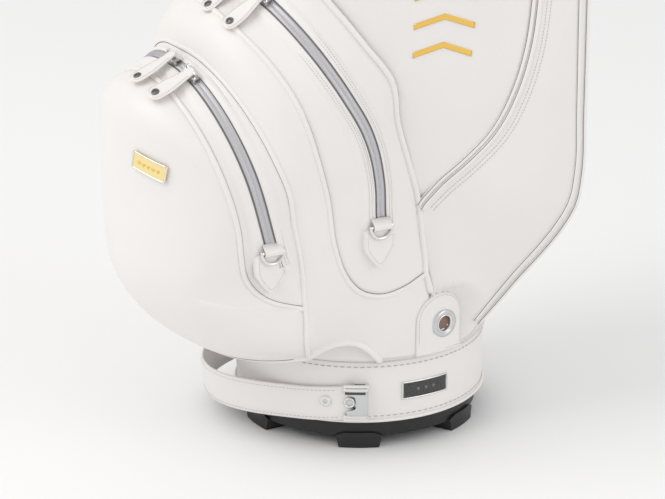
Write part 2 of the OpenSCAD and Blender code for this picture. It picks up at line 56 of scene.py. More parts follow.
Array = np.ndarray
MM = 0.001
BAG = "bag"
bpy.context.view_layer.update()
log = logging.getLogger("staff_bag")


# ---------- finishes ----------

class Kind(Enum):
    """What a finish is made of."""

    LEATHER = "leather"
    THREAD = "thread"
    METAL = "metal"
    PLASTIC = "plastic"
    CLOTH = "cloth"


@dataclass(frozen=True)
class Finish:
    """One finish: its colour, gloss and the size of its grain.

    grain_mm is the width of one pebble, thread or scratch, and relief_mm its height.
    """

    name: str
    slot: str
    kind: Kind
    colour: tuple[float, float, float]
    roughness: float
    grain_mm: float = 1.0
    relief_mm: float = 0.05
    metallic: float = 0.0
    vary: float = 0.03


WHITE = Finish("white_grain_leather", "white_leather", Kind.LEATHER,
               (0.82, 0.795, 0.775), 0.43, 0.9, 0.035)
SOFT_WHITE = Finish("padded_white_leather", "white_leather", Kind.LEATHER,
                    (0.81, 0.785, 0.765), 0.46, 1.1, 0.05)
PIPING = Finish("piping_leather", "white_leather", Kind.LEATHER,
                (0.83, 0.808, 0.785), 0.38, 0.6, 0.02)
# Painted shade: dark leather for thin cords drawn where shadows fall beside piping, zip lips and
# the hem band.
SEAM_SHADE = Finish("seam_shadow_edge", "white_leather", Kind.LEATHER,
                (0.20, 0.19, 0.185), 0.7, 0.8, 0.02)
PULL = Finish("pull_leather", "pull_leather", Kind.LEATHER,
              (0.82, 0.795, 0.772), 0.36, 0.7, 0.03)
THREAD = Finish("waxed_thread", "white_leather", Kind.THREAD, (0.50, 0.475, 0.45), 0.6, 0.35, 0.05)
ZIP_TAPE = Finish("zip_tape", "zip_grey", Kind.CLOTH, (0.24, 0.235, 0.24), 0.75, 0.5, 0.05)
ZIP_COIL = Finish("zip_coil", "zip_grey", Kind.METAL, (0.56, 0.55, 0.57), 0.42, 0.5, 0.03, 0.55)
CHROME = Finish("polished_nickel", "chrome", Kind.METAL, (0.78, 0.77, 0.76), 0.16, 0.6, 0.004, 1.0)
# Dark steel; it also paints the shade in the pulls' eyelet holes.
DARK_STEEL = Finish("shaded_steel", "chrome", Kind.METAL, (0.20, 0.19, 0.185), 0.35, 0.6, 0.004,
                    1.0)
BRUSHED = Finish("brushed_steel", "chrome", Kind.METAL, (0.62, 0.63, 0.64), 0.3, 0.6, 0.01, 0.9)
GOLD = Finish("gold_foil", "gold_plate", Kind.METAL, (0.86, 0.55, 0.12), 0.34, 0.5, 0.02, 0.55)
PALE_GOLD = Finish("pale_gold_plate", "gold_plate", Kind.METAL,
                   (0.88, 0.73, 0.36), 0.3, 0.5, 0.01, 0.6)
ENAMEL = Finish("dark_enamel", "dark_plate", Kind.PLASTIC, (0.045, 0.045, 0.047), 0.28, 1.5, 0.01)
MOULDING = Finish("black_moulding", "black_moulding", Kind.PLASTIC,
                  (0.011, 0.0105, 0.011), 0.42, 0.8, 0.05)
LINER = Finish("tube_liner", "liner_plastic", Kind.PLASTIC, (0.05, 0.05, 0.055), 0.6, 1.2, 0.06)
DIVIDER = Finish("divider_cloth", "divider_cloth", Kind.CLOTH, (0.10, 0.10, 0.11), 0.9, 0.8, 0.12)
# The inside of an eyelet hole: a brown lining colour with the hole's shade painted in.
EYELET_HOLE = Finish("eyelet_lining_and_shade", "divider_cloth", Kind.CLOTH,
                     (0.24, 0.16, 0.125), 0.85, 0.8, 0.08)


class Dresser:
    """Makes each finish's material once and puts it on pieces."""

    def __init__(self) -> None:
        """Starts with no materials."""
        self.made: dict[str, bpy.types.Material] = {}

    def material(self, finish: Finish) -> bpy.types.Material:
        """The material of a finish.

        Args:
            finish: The finish wanted.

        Returns:
            Its procedural material, made on the first call.
        """
        if finish.name not in self.made:
            self.made[finish.name] = self._build(finish)
        return self.made[finish.name]

    def _build(self, finish: Finish) -> bpy.types.Material:
        """Builds the nodes: a broad tone change, a grain on roughness and a grain relief.

        Args:
            finish: The finish wanted.

        Returns:
            The new material.
        """
        made = bpy.data.materials.new(finish.name)
        made.use_nodes = True
        made.diffuse_color = (*finish.colour, 1.0)
        nodes, links = made.node_tree.nodes, made.node_tree.links
        shader = nodes["Principled BSDF"]
        shader.inputs["Metallic"].default_value = finish.metallic
        if finish.kind is Kind.LEATHER:
            shader.inputs["Coat Weight"].default_value = 0.08
            shader.inputs["Coat Roughness"].default_value = 0.35
            shader.inputs["Specular IOR Level"].default_value = 0.42
        if finish.kind is Kind.CLOTH:
            shader.inputs["Sheen Weight"].default_value = 0.25
        place = nodes.new("ShaderNodeTexCoord").outputs["Object"]
        tone = self._noise(nodes, links, place, 14.0, 3.0)
        mix = nodes.new("ShaderNodeMix")
        mix.data_type = "RGBA"
        mix.inputs["A"].default_value = (*(c * (1 - finish.vary) for c in finish.colour), 1)
        mix.inputs["B"].default_value = (*(min(1, c * (1 + finish.vary))
                                           for c in finish.colour), 1)
        links.new(tone, mix.inputs["Factor"])
        links.new(mix.outputs["Result"], shader.inputs["Base Color"])
        fine = self._grain(finish, nodes, links, place)
        rough = nodes.new("ShaderNodeMapRange")
        rough.inputs["To Min"].default_value = finish.roughness * 0.85
        rough.inputs["To Max"].default_value = min(1.0, finish.roughness * 1.15)
        links.new(fine, rough.inputs["Value"])
        links.new(rough.outputs["Result"], shader.inputs["Roughness"])
        bump = nodes.new("ShaderNodeBump")
        bump.inputs["Strength"].default_value = 0.6
        bump.inputs["Distance"].default_value = finish.relief_mm * MM * 2
        links.new(fine, bump.inputs["Height"])
        links.new(bump.outputs["Normal"], shader.inputs["Normal"])
        return made

    @staticmethod
    def _noise(nodes: bpy.types.Nodes, links: bpy.types.NodeLinks,
               place: bpy.types.NodeSocket, scale: float, detail: float) -> bpy.types.NodeSocket:
        """A soft noise over the piece, with scale features to the metre."""
        noise = nodes.new("ShaderNodeTexNoise")
        noise.inputs["Scale"].default_value = scale
        noise.inputs["Detail"].default_value = detail
        links.new(place, noise.inputs["Vector"])
        return noise.outputs["Fac"]

    def _grain(self, finish: Finish, nodes: bpy.types.Nodes, links: bpy.types.NodeLinks,
               place: bpy.types.NodeSocket) -> bpy.types.NodeSocket:
        """The fine pattern of a finish.

        Leather is rounded pebbles with folds, cloth and thread are crossed fine waves,
        and plastic and metal are a fine noise.

        Returns:
            A socket from 0 to 1.
        """
        scale = 1.0 / (finish.grain_mm * MM)
        if finish.kind is Kind.LEATHER:
            pebble = nodes.new("ShaderNodeTexVoronoi")
            pebble.feature = "SMOOTH_F1"
            pebble.inputs["Scale"].default_value = scale
            links.new(place, pebble.inputs["Vector"])
            fold = self._noise(nodes, links, place, scale * 0.4, 4.0)
            return self._combine(nodes, links, pebble.outputs["Distance"], fold, 0.5)
        if finish.kind in (Kind.CLOTH, Kind.THREAD):
            waves = []
            for direction in ("DIAGONAL", "Z"):
                wave = nodes.new("ShaderNodeTexWave")
                wave.bands_direction = direction
                wave.inputs["Scale"].default_value = scale * 0.3
                wave.inputs["Distortion"].default_value = 0.6
                links.new(place, wave.inputs["Vector"])
                waves.append(wave.outputs["Fac"])
            return self._combine(nodes, links, waves[0], waves[1], 0.5)
        return self._noise(nodes, links, place, scale, 3.0)

    @staticmethod
    def _combine(nodes: bpy.types.Nodes, links: bpy.types.NodeLinks, first: bpy.types.NodeSocket,
                 second: bpy.types.NodeSocket, share: float) -> bpy.types.NodeSocket:
        """Mixes two patterns, share being the second one's part."""
        mix = nodes.new("ShaderNodeMix")
        mix.inputs["Factor"].default_value = share
        links.new(first, mix.inputs["A"])
        links.new(second, mix.inputs["B"])
        return mix.outputs["Result"]

    def dress_node(self, node: str, finish: Finish) -> None:
        """Gives a CAD node's own object a finish."""
        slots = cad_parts[node].material_slots
        for slot in slots:
            slot.material = self.material(finish)


DRESS = Dresser()


# ---------- curves and grids ----------

def unit(vectors: Array) -> Array:
    """Vectors divided by their length."""
    return vectors / np.maximum(np.linalg.norm(vectors, axis=-1, keepdims=True), 1e-9)


def through(points: Array, knots: Array, where: Array) -> Array:
    """Smooth cubic through points, each reached at its knot.

    Each stretch is a Hermite cubic whose end slopes are the central differences.

    Args:
        points: Points, or arrays of points, along the first axis.
        knots: Rising values, one per point.
        where: Values to evaluate at.

    Returns:
        The points at where, along the first axis.
    """
    points, knots = np.asarray(points, float), np.asarray(knots, float)
    slopes = np.gradient(points, knots, axis=0)
    i = np.clip(np.searchsorted(knots, where, side="right") - 1, 0, len(knots) - 2)
    span = knots[i + 1] - knots[i]
    shape = (-1,) + (1,) * (points.ndim - 1)
    t = ((where - knots[i]) / span).reshape(shape)
    span = span.reshape(shape)
    return ((2 * t**3 - 3 * t**2 + 1) * points[i] + (t**3 - 2 * t**2 + t) * span * slopes[i]
            + (3 * t**2 - 2 * t**3) * points[i + 1] + (t**3 - t**2) * span * slopes[i + 1])


def lengths(path: Array) -> Array:
    """Distance from the start of a path to each of its points."""
    return np.r_[0.0, np.cumsum(np.linalg.norm(np.diff(path, axis=0), axis=1))]


def seam_curve(sections: list[Array], counts: list[int]) -> Array:
    """A smooth curve through every section's points, cut evenly within each section.

    Args:
        sections: Lists of points; a section ends at its last point.
        counts: Steps in each section.

    Returns:
        sum(counts) + 1 points.
    """
    points = np.vstack([np.atleast_2d(s) for s in sections])
    chord = lengths(points)
    ends = np.cumsum([len(np.atleast_2d(s)) for s in sections]) - 1
    stops = np.r_[0.0, chord[ends]]
    cuts = [np.linspace(stops[i], stops[i + 1], n, endpoint=False) for i, n in enumerate(counts)]
    return through(points, chord, np.r_[np.concatenate(cuts), stops[-1]])


def respace(path: Array, pitch: float) -> Array:
    """Points along a path at an even pitch."""
    along = lengths(path)
    count = max(4, int(along[-1] / pitch))
    where = np.linspace(0, along[-1], count + 1)
    return np.stack([np.interp(where, along, path[:, k]) for k in range(3)], axis=1)


def mirrored(points: Array) -> Array:
    """Points reflected to the other side of the bag."""
    return points * np.array([-1.0, 1.0, 1.0])


def both_sides(half: Array) -> Array:
    """A half that starts on the middle plane (points or directions), joined to its mirror."""
    return np.concatenate([mirrored(half[:0:-1]), half])


def grid_normals(grid: Array, centre: Array) -> Array:
    """Unit normals of a grid of points, turned away from centre.

    Each is the cross product of the differences along the two directions.
    """
    across = np.gradient(grid, axis=0)
    along = np.gradient(grid, axis=1)
    normals = unit(np.cross(across, along))
    side = np.sign(np.sum(normals * (grid - centre)))
    return normals * (side if side else 1.0)


def grid_faces(rows: int, cols: int, wrap: bool = False) -> Array:
    """Four-sided faces of a grid of rows by cols points, with rows joined round if wrap."""
    r = np.arange(rows if wrap else rows - 1)[:, None]
    c = np.arange(cols - 1)[None, :]
    n = (r + 1) % rows
    quads = np.stack([r * cols + c, n * cols + c, n * cols + c + 1, r * cols + c + 1], axis=-1)
    return quads.reshape(-1, 4)


def step(values: Array, low: float, high: float) -> Array:
    """Smooth rise from 0 at low to 1 at high: 3t^2 - 2t^3."""
    t = np.clip((values - low) / (high - low), 0, 1)
    return t * t * (3 - 2 * t)


@dataclass(frozen=True)
class Plane:
    """A plane that leans back about X, for an arch zip."""

    centre: tuple[float, float, float]
    tilt: float

    def at(self, x: Array, up: Array, out: Array) -> Array:
        """World points from across, up the slope and forward of the plane."""
        a = math.radians(self.tilt)
        x, up, out = np.broadcast_arrays(x, up, out)
        return np.stack([x, self.centre[1] - up * math.sin(a) - out * math.cos(a),
                         self.centre[2] + up * math.cos(a) - out * math.sin(a)], axis=-1)

    def arch(self, radius: float, out: Array | float, turn: Array) -> Array:
        """Points of a circle in the plane at angles turn from the top, in degrees."""
        t = np.radians(turn)
        return self.at(radius * np.sin(t), radius * np.cos(t), np.asarray(out) + 0 * t)


# ---------- making pieces ----------

def piece(name: str, points: Array, faces: Array, finish: Finish, body: str = BAG,
          weld: float = 0.01) -> bpy.types.Object:
    """Makes one piece from points in millimetres.

    Args:
        name: The piece's name.
        points: Its points, in any grid shape.
        faces: Rows of point numbers.
        finish: Its finish.
        body: The CAD body that it rides on.
        weld: Points closer than this, in millimetres, become one.

    Returns:
        The object, smooth shaded and riding on its body.
    """
    mesh = bpy.data.meshes.new(name)
    mesh.from_pydata((points.reshape(-1, 3) * MM).tolist(), [], faces.tolist())
    work = bmesh.new()
    work.from_mesh(mesh)
    bmesh.ops.remove_doubles(work, verts=work.verts, dist=weld * MM)
    bmesh.ops.dissolve_degenerate(work, edges=work.edges, dist=weld * MM)
    work.to_mesh(mesh)
    work.free()
    mesh.materials.append(DRESS.material(finish))
    mesh.polygons.foreach_set("use_smooth", np.ones(len(mesh.polygons), bool))
    mesh.update()
    made = bpy.data.objects.new(name, mesh)
    bpy.context.collection.objects.link(made)
    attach(made, body)
    log.info("%s: %d faces", name, len(mesh.polygons))
    return made


def outward(grid: Array, faces: Array, centre: Array) -> Array:
    """Faces wound so that, taken together, they look away from centre."""
    p = grid.reshape(-1, 3)
    a, b, c, d = (p[faces[:, k]] for k in range(4))
    lean = np.sum(np.cross(c - a, d - b) * ((a + c) / 2 - centre))
    return faces[:, ::-1] if lean < 0 else faces


def panel(name: str, grid: Array, finish: Finish, centre: Array, thick: float = 2.2,
          body: str = BAG, wrap: bool = False) -> bpy.types.Object:
    """A leather panel: a grid given thickness on its inner side.

    Args:
        name: The piece's name.
        grid: rows by cols by 3 points of the outer face.
        finish: Its finish.
        centre: A point on the inner side.
        thick: Thickness in millimetres.
        body: The body it rides on.
        wrap: Whether the rows close into a ring.

    Returns:
        The object.
    """
    faces = outward(grid, grid_faces(grid.shape[0], grid.shape[1], wrap), np.asarray(centre))
    made = piece(name, grid, faces, finish, body)
    shell = made.modifiers.new("thickness", "SOLIDIFY")
    shell.thickness = thick * MM
    shell.offset = -1.0
    return made


def swept(path: Array, outline: Array, facing: Array, closed: bool = False,
          scale: Array | None = None) -> tuple[Array, Array]:
    """Carries a closed outline along a path.

    At each point the outline's first axis runs across the path and its second axis
    along facing, squared to the path. Open ends shrink to a point, so they close.

    Args:
        path: Points.
        outline: Points of the outline, as (across, out) pairs.
        facing: Directions that the outline's second axis follows.
        closed: Whether the path is a loop.
        scale: The outline's scale at each point.

    Returns:
        Points and faces.
    """
    if closed:
        tangent = unit(np.roll(path, -1, axis=0) - np.roll(path, 1, axis=0))
    else:
        tangent = unit(np.gradient(path, axis=0))
    across = unit(np.cross(tangent, facing))
    out = np.cross(across, tangent)
    size = np.ones(len(path)) if scale is None else scale
    rings = (path[:, None] + size[:, None, None] * (outline[None, :, :1] * across[:, None]
                                                    + outline[None, :, 1:] * out[:, None]))
    if not closed:
        rings = np.concatenate([path[None, :1].repeat(len(outline), 1), rings,
                                path[None, -1:].repeat(len(outline), 1)])
    rows = len(rings)
    n, m = np.arange(rows if closed else rows - 1)[:, None], np.arange(len(outline))[None, :]
    nxt, side = (n + 1) % rows, (m + 1) % len(outline)
    k = len(outline)
    faces = np.stack([n * k + m, n * k + side, nxt * k + side, nxt * k + m], axis=-1)
    return rings, faces.reshape(-1, 4)


def round_outline(width: float, height: float, sides: int = 10, square: float = 1.0) -> Array:
    """A closed outline width by height: an ellipse at square 1, boxier as it falls to 0."""
    t = np.linspace(0, 2 * np.pi, sides, endpoint=False)
    c, s = np.cos(t), np.sin(t)
    return np.stack([np.sign(c) * np.abs(c) ** square * width / 2,
                     np.sign(s) * np.abs(s) ** square * height / 2], axis=1)


def cord_piece(name: str, path: Array, width: float, finish: Finish, facing: Array,
               height: float | None = None, closed: bool = False, sides: int = 10,
               square: float = 1.0, body: str = BAG,
               scale: Array | None = None) -> bpy.types.Object:
    """Piping, a rolled edge or a strip: an outline carried along a path."""
    outline = round_outline(width, width if height is None else height, sides, square)
    points, faces = swept(path, outline, facing, closed, scale)
    made = piece(name, points, faces, finish, body, 0.004)
    fix_normals(made)
    return made


def fix_normals(made: bpy.types.Object) -> None:
    """Turns a closed piece's faces outward."""
    work = bmesh.new()
    work.from_mesh(made.data)
    bmesh.ops.recalc_face_normals(work, faces=work.faces)
    work.to_mesh(made.data)
    work.free()


def stitches(name: str, path: Array, facing: Array, pitch: float = 3.0, length: float = 2.1,
             width: float = 0.55, closed: bool = False, body: str = BAG) -> bpy.types.Object:
    """A row of stitches: one short sausage of thread at each pitch along a path.

    Args:
        name: The piece's name.
        path: Points of the seam line, on the leather.
        facing: Outward directions, one per path point.
        pitch: Distance between stitches.
        length: Length of one stitch.
        width: Width of the thread.
        closed: Whether the seam is a loop.
        body: The body it rides on.

    Returns:
        The object.
    """
    along = lengths(path)
    count = max(2, int(along[-1] / pitch))
    where = (np.arange(count) + 0.5) * along[-1] / count
    spot = np.stack([np.interp(where, along, path[:, k]) for k in range(3)], 1)
    out = unit(np.stack([np.interp(where, along, facing[:, k]) for k in range(3)], 1))
    ahead = np.stack([np.interp(where + 0.5, along, path[:, k]) for k in range(3)], 1)
    back = np.stack([np.interp(where - 0.5, along, path[:, k]) for k in range(3)], 1)
    tangent = unit(ahead - back)
    across = unit(np.cross(tangent, out))
    sides = 5
    ring = round_outline(width, width * 0.8, sides)
    ends = np.array([-0.5, -0.38, 0.38, 0.5]) * length
    size = np.array([0.25, 1.0, 1.0, 0.25])
    shape = (ends[None, :, None, None] * tangent[:, None, None]
             + size[None, :, None, None] * (ring[None, None, :, :1] * across[:, None, None]
                                            + ring[None, None, :, 1:] * out[:, None, None]))
    points = spot[:, None, None] + shape + out[:, None, None] * width * 0.12
    j, m = np.arange(3)[:, None], np.arange(sides)[None, :]
    nxt = (m + 1) % sides
    one = np.stack([j * sides + m, (j + 1) * sides + m, (j + 1) * sides + nxt,
                    j * sides + nxt], -1).reshape(-1, 4)
    faces = (one[None] + (np.arange(count) * 4 * sides)[:, None, None]).reshape(-1, 4)
    return piece(name, points, faces, THREAD, body, 0.0001)


def ring_faces(rings: int, sides: int) -> Array:
    """Faces of a lathe form of rings by sides points, closed round the sides."""
    j, m = np.arange(rings - 1)[:, None], np.arange(sides)[None, :]
    nxt = (m + 1) % sides
    return np.stack([j * sides + m, (j + 1) * sides + m, (j + 1) * sides + nxt,
                     j * sides + nxt], -1).reshape(-1, 4)


def turned(name: str, profile: Array, centre: Array, axis: Array, up: Array, finish: Finish,
           body: str = BAG, sides: int = 48) -> bpy.types.Object:
    """A lathe piece: a profile of (radius, height) pairs turned about an axis.

    Each point is centre + height*axis + radius*(cos a * across + sin a * up).
    """
    axis, up = unit(np.asarray(axis, float)), np.asarray(up, float)
    across = unit(np.cross(up, axis))
    up = np.cross(axis, across)
    a = np.linspace(0, 2 * np.pi, sides, endpoint=False)
    spoke = np.cos(a)[:, None] * across + np.sin(a)[:, None] * up
    points = (np.asarray(centre, float) + profile[:, 1, None, None] * axis
              + profile[:, 0, None, None] * spoke[None])
    made = piece(name, points, ring_faces(len(profile), sides), finish, body, 0.001)
    fix_normals(made)
    return made


# ---------- seams ----------

BALL = Plane((0.0, -168.0, 264.0), 15.5)
COOL = Plane((0.0, -72.0, 322.0), 28.0)
INSIDE = np.array([0.0, -60.0, 260.0])
BODY_SKIN = 121.9                        # outside radius of the body's leather


def on_body(x: Array, z: Array, radius: float) -> Array:
    """Points on the front half of the body's cylinder."""
    return np.stack([x, -np.sqrt(np.maximum(radius**2 - x**2, 0)), z], axis=-1)


@dataclass
class Seams:
    """The pockets' seams on the right-hand side, each from the top downwards.

    The steps tell how each section of a seam is cut, so that panels between two
    seams have matching rows.
    """

    ball_steps: tuple[int, ...] = (40, 16, 16)
    cool_steps: tuple[int, ...] = (40, 18, 20)
    wide_steps: tuple[int, ...] = (40, 18, 14, 44)
    turn: Array = field(default_factory=lambda: np.linspace(0, 90, 7))

    def ball_front(self) -> Array:
        """The seam round the ball pocket's front panel, ending on the pocket's rear seam."""
        return seam_curve([
            BALL.arch(109.5, 24.0, self.turn),
            [(108.5, -186, 236), (106.5, -183, 215), (104, -178, 193)],
            [(104.5, -168, 177.5), (107.5, -155, 167), (112, -140, 161.5), (118, -124.5, 158)],
        ], list(self.ball_steps))

    def ball_zip(self) -> Array:
        """The middle line of the gusset that holds the ball pocket's zip."""
        return seam_curve([
            BALL.arch(113.9, 0.0, self.turn),
            [(113.9, -163, 245), (113.9, -157, 222), (114.5, -151, 200)],
            [(115.5, -143, 184), (117, -134, 170), (118.2, -124.6, 159)],
        ], list(self.ball_steps))

    def ball_rear(self) -> Array:
        """The ball pocket's rear seam, down to where the front seam meets it."""
        return seam_curve([
            BALL.arch(122.0, -12.0 - 15.0 * self.turn / 90, self.turn),
            [(118.3, -135, 237), (118.5, -130, 214), (118.5, -127, 192)],
            [(118.5, -125.5, 170), (118.2, -124.4, 158)],
        ], list(self.ball_steps))

    def rear_foot(self) -> Array:
        """The rear seam's lowest stretch, from the front seam's end to the hem."""
        return seam_curve([[(118.2, -124.4, 158), (118, -123.5, 151), (114.5, -121, 126),
                            (105, -114.5, 109), (92, -107, 98)]], [14])

    def cool_front(self) -> Array:
        """The seam round the cooler pocket's front, ending on its rear seam."""
        return seam_curve([
            [(0, -170, 425), (32, -168, 421), (60, -162, 410), (84, -153, 395),
             (103, -143, 376), (116, -133, 354), (124, -125, 330)],
            [(128, -117, 300), (129, -108, 265), (128.5, -99, 212), (128, -89, 186)],
            [(128, -72, 167), (128, -50, 160), (127.5, -27, 163), (126.3, -3, 173)],
        ], list(self.cool_steps))

    def cool_zip(self) -> Array:
        """The middle line of the gusset that holds the cooler pocket's zip."""
        return seam_curve([
            COOL.arch(135.9, 0.0, self.turn),
            [(135.9, -64, 300), (135.2, -58, 270), (134.5, -56, 236), (133.5, -52, 212)],
            [(131.5, -40, 192), (129, -20, 178), (126.5, -3, 173.5)],
        ], list(self.cool_steps))

    def cool_rear(self) -> Array:
        """The cooler pocket's rear seam on the body, down to the front seam's end."""
        t = np.radians(np.linspace(0, 75, 7))
        x = 125.0 * np.sin(t)
        return seam_curve([
            on_body(x, 310 + 180 * np.cos(t), 126.0),
            [(122, -32, 322), (124.2, -22, 285), (125.5, -11, 244), (126, -7, 212)],
            [(126.2, -4, 190), (126.3, -3, 173.5)],
        ], list(self.cool_steps))

    def rear_tail(self) -> Array:
        """The cooler pocket's rear seam below the front seam's end, to the collar."""
        return seam_curve([[(126.3, -3, 173.5), (125.5, 4, 152), (124, 9, 128),
                            (122.6, 13, 100), (122.3, 14, 91)]], [12])

    def wide_inner(self) -> Array:
        """The wide front's inner edge: the ball pocket's rear seam, then its hem line."""
        seam = seam_curve([
            BALL.arch(122.0, -12.0 - 15.0 * self.turn / 90, self.turn),
            [(118.3, -135, 237), (118.5, -130, 214), (118.5, -127, 192), (118.5, -125.5, 170),
             (118, -123.5, 151)],
            [(114.5, -121, 126), (105, -114.5, 109), (92, -107, 98)],
        ], list(self.wide_steps[:3]))
        return np.vstack([seam, self.half_moon()[1:], self.hem_rest()[1:]])

    def wide_outer(self) -> Array:
        """The wide front's outer edge: the cooler pocket's front seam."""
        return seam_curve([
            [(0, -170, 425), (32, -168, 421), (60, -162, 410), (84, -153, 395),
             (103, -143, 376), (116, -133, 354), (124, -125, 330)],
            [(128, -117, 300), (129, -108, 265), (128.5, -99, 212), (128, -89, 186)],
            [(128, -72, 167)],
            [(128, -50, 160), (127.5, -27, 163), (126.3, -3, 173)],
        ], list(self.wide_steps))

    def hem_front(self) -> Array:
        """The ball pocket's hem, from the middle to the foot of the rear seam."""
        t = np.radians(np.linspace(0, 71.5, 9))
        arc = np.stack([97 * np.sin(t), -80 - 87 * np.cos(t), 92.5 + 5.5 * (t / t[-1]) ** 2], 1)
        return seam_curve([arc], [28])

    def half_moon(self) -> Array:
        """The rolled edge that rises and falls again beside the hem, then the collar's top."""
        return seam_curve([[(92, -107, 98), (99, -97, 106.5), (106.5, -83, 112.5),
                            (111.5, -68, 111.5), (114.8, -56, 104), (117, -46, 93)]], [24])

    def hem_rest(self) -> Array:
        """The cooler pocket's bottom edge along the collar."""
        t = np.linspace(0, 1, 9)
        a = np.radians(68.5 + (96.5 - 68.5) * t)
        arc = np.stack([122.4 * np.sin(a), -122.4 * np.cos(a), 91.5 + 0 * a], 1)
        arc[0] = (117, -46, 93)
        return seam_curve([arc], [20])


SEAMS = Seams()


# ---------- zips, pulls and tabs ----------

def zip_lips(offset: Array) -> Array:
    """Height of the folded leather beside a zip, at offsets from its middle line.

    It is -0.6 under the tape, rises between 5.9 and 7.2 to 1.9, and sinks to 0 by 17.
    """
    d = np.abs(offset)
    return -0.6 + 2.7 * step(d, 5.6, 6.9) - 2.1 * step(d, 13.5, 17.0)


def gusset_grid(front: Array, middle: Array, rear: Array, half_front: float,
                half_rear: float, end_row: int) -> tuple[Array, Array]:
    """A gusset between two seams, folded up beside the zip on its middle line.

    Every row is the smooth curve through its front, middle and rear points. The
    columns stand closest together beside the zip.

    Args:
        front: The front seam.
        middle: The zip's line.
        rear: The rear seam.
        half_front: Usual distance from the front seam to the middle line.
        half_rear: Usual distance from the middle line to the rear seam.
        end_row: The row where the zip ends.

    Returns:
        The grid, and the outward directions on it.
    """
    near = np.array([0.0, 3.0, 5.4, 5.9, 6.4, 6.9, 7.6, 10.0, 13.5, 15.2, 17.0])
    ahead = np.r_[np.linspace(half_front, 18.5, 5), near[::-1]]
    behind = np.r_[near[1:], np.linspace(18.5, half_rear, 5)]
    offset = np.r_[-ahead, behind]
    knots = np.array([-half_front, 0.0, half_rear])
    grid = through(np.stack([front, middle, rear]), knots, offset)
    grid = np.swapaxes(grid, 0, 1)
    normals = grid_normals(grid, INSIDE)
    rows = np.arange(len(front))
    fade = (1 - step(rows, end_row - 1, end_row + 3))[:, None]
    edge = np.minimum(step(offset + half_front, 0, 3), step(half_rear - offset, 0, 3))
    raise_by = (zip_lips(offset) * edge)[None, :] * fade
    return grid + raise_by[..., None] * normals, normals


def zip_ribbon(name: str, line: Array, out: Array, across_mm: float, lift: float,
               finish: Finish, ripple: float = 0.0, pitch: float = 1.5) -> bpy.types.Object:
    """A strip of zip along a line: plain tape, or a coil of slanted teeth.

    Height over the strip is lift + ripple * sin(2 pi (s / pitch + |across| / 2 pitch)),
    dropping at the middle line and at both edges.

    Args:
        name: The piece's name.
        line: The zip's middle line.
        out: Outward directions along it.
        across_mm: Width of the strip.
        lift: Height over the line.
        finish: Its finish.
        ripple: Height of the teeth.
        pitch: Distance between teeth.

    Returns:
        The object.
    """
    fine = respace(line, pitch / 4 if ripple else 3.0)
    along = lengths(fine)
    base = lengths(line)
    facing = unit(np.stack([np.interp(along * base[-1] / along[-1], base, out[:, k])
                            for k in range(3)], 1))
    tangent = unit(np.gradient(fine, axis=0))
    side = unit(np.cross(tangent, facing))
    share = np.array([-1, -0.94, -0.7, -0.4, -0.12, 0, 0.12, 0.4, 0.7, 0.94, 1])
    drop = np.array([-1.0, -0.1, 0, 0, -0.4, -1.6, -0.4, 0, 0, -0.1, -1.0])
    offset = share * across_mm / 2
    wave = np.sin(2 * np.pi * (along[:, None] / pitch + np.abs(offset)[None] / (2 * pitch)))
    height = lift + ripple * wave + drop[None] * (0.5 if ripple else 0.12)
    grid = (fine[:, None] + offset[None, :, None] * side[:, None]
            + height[..., None] * facing[:, None])
    return panel(name, grid, finish, INSIDE, 0.5)


def turn_x(degrees: float) -> Array:
    """Rotation about X."""
    a = math.radians(degrees)
    return np.array([[1, 0, 0], [0, math.cos(a), -math.sin(a)], [0, math.sin(a), math.cos(a)]])


def turn_z(degrees: float) -> Array:
    """Rotation about Z."""
    a = math.radians(degrees)
    return np.array([[math.cos(a), -math.sin(a), 0], [math.sin(a), math.cos(a), 0], [0, 0, 1]])


@dataclass(frozen=True)
class Spot:
    """A turned place: local axes are across, thickness and along."""

    turn: Array
    origin: Array

    def place(self, local: Array) -> Array:
        """World points of local ones."""
        return local @ self.turn.T + self.origin


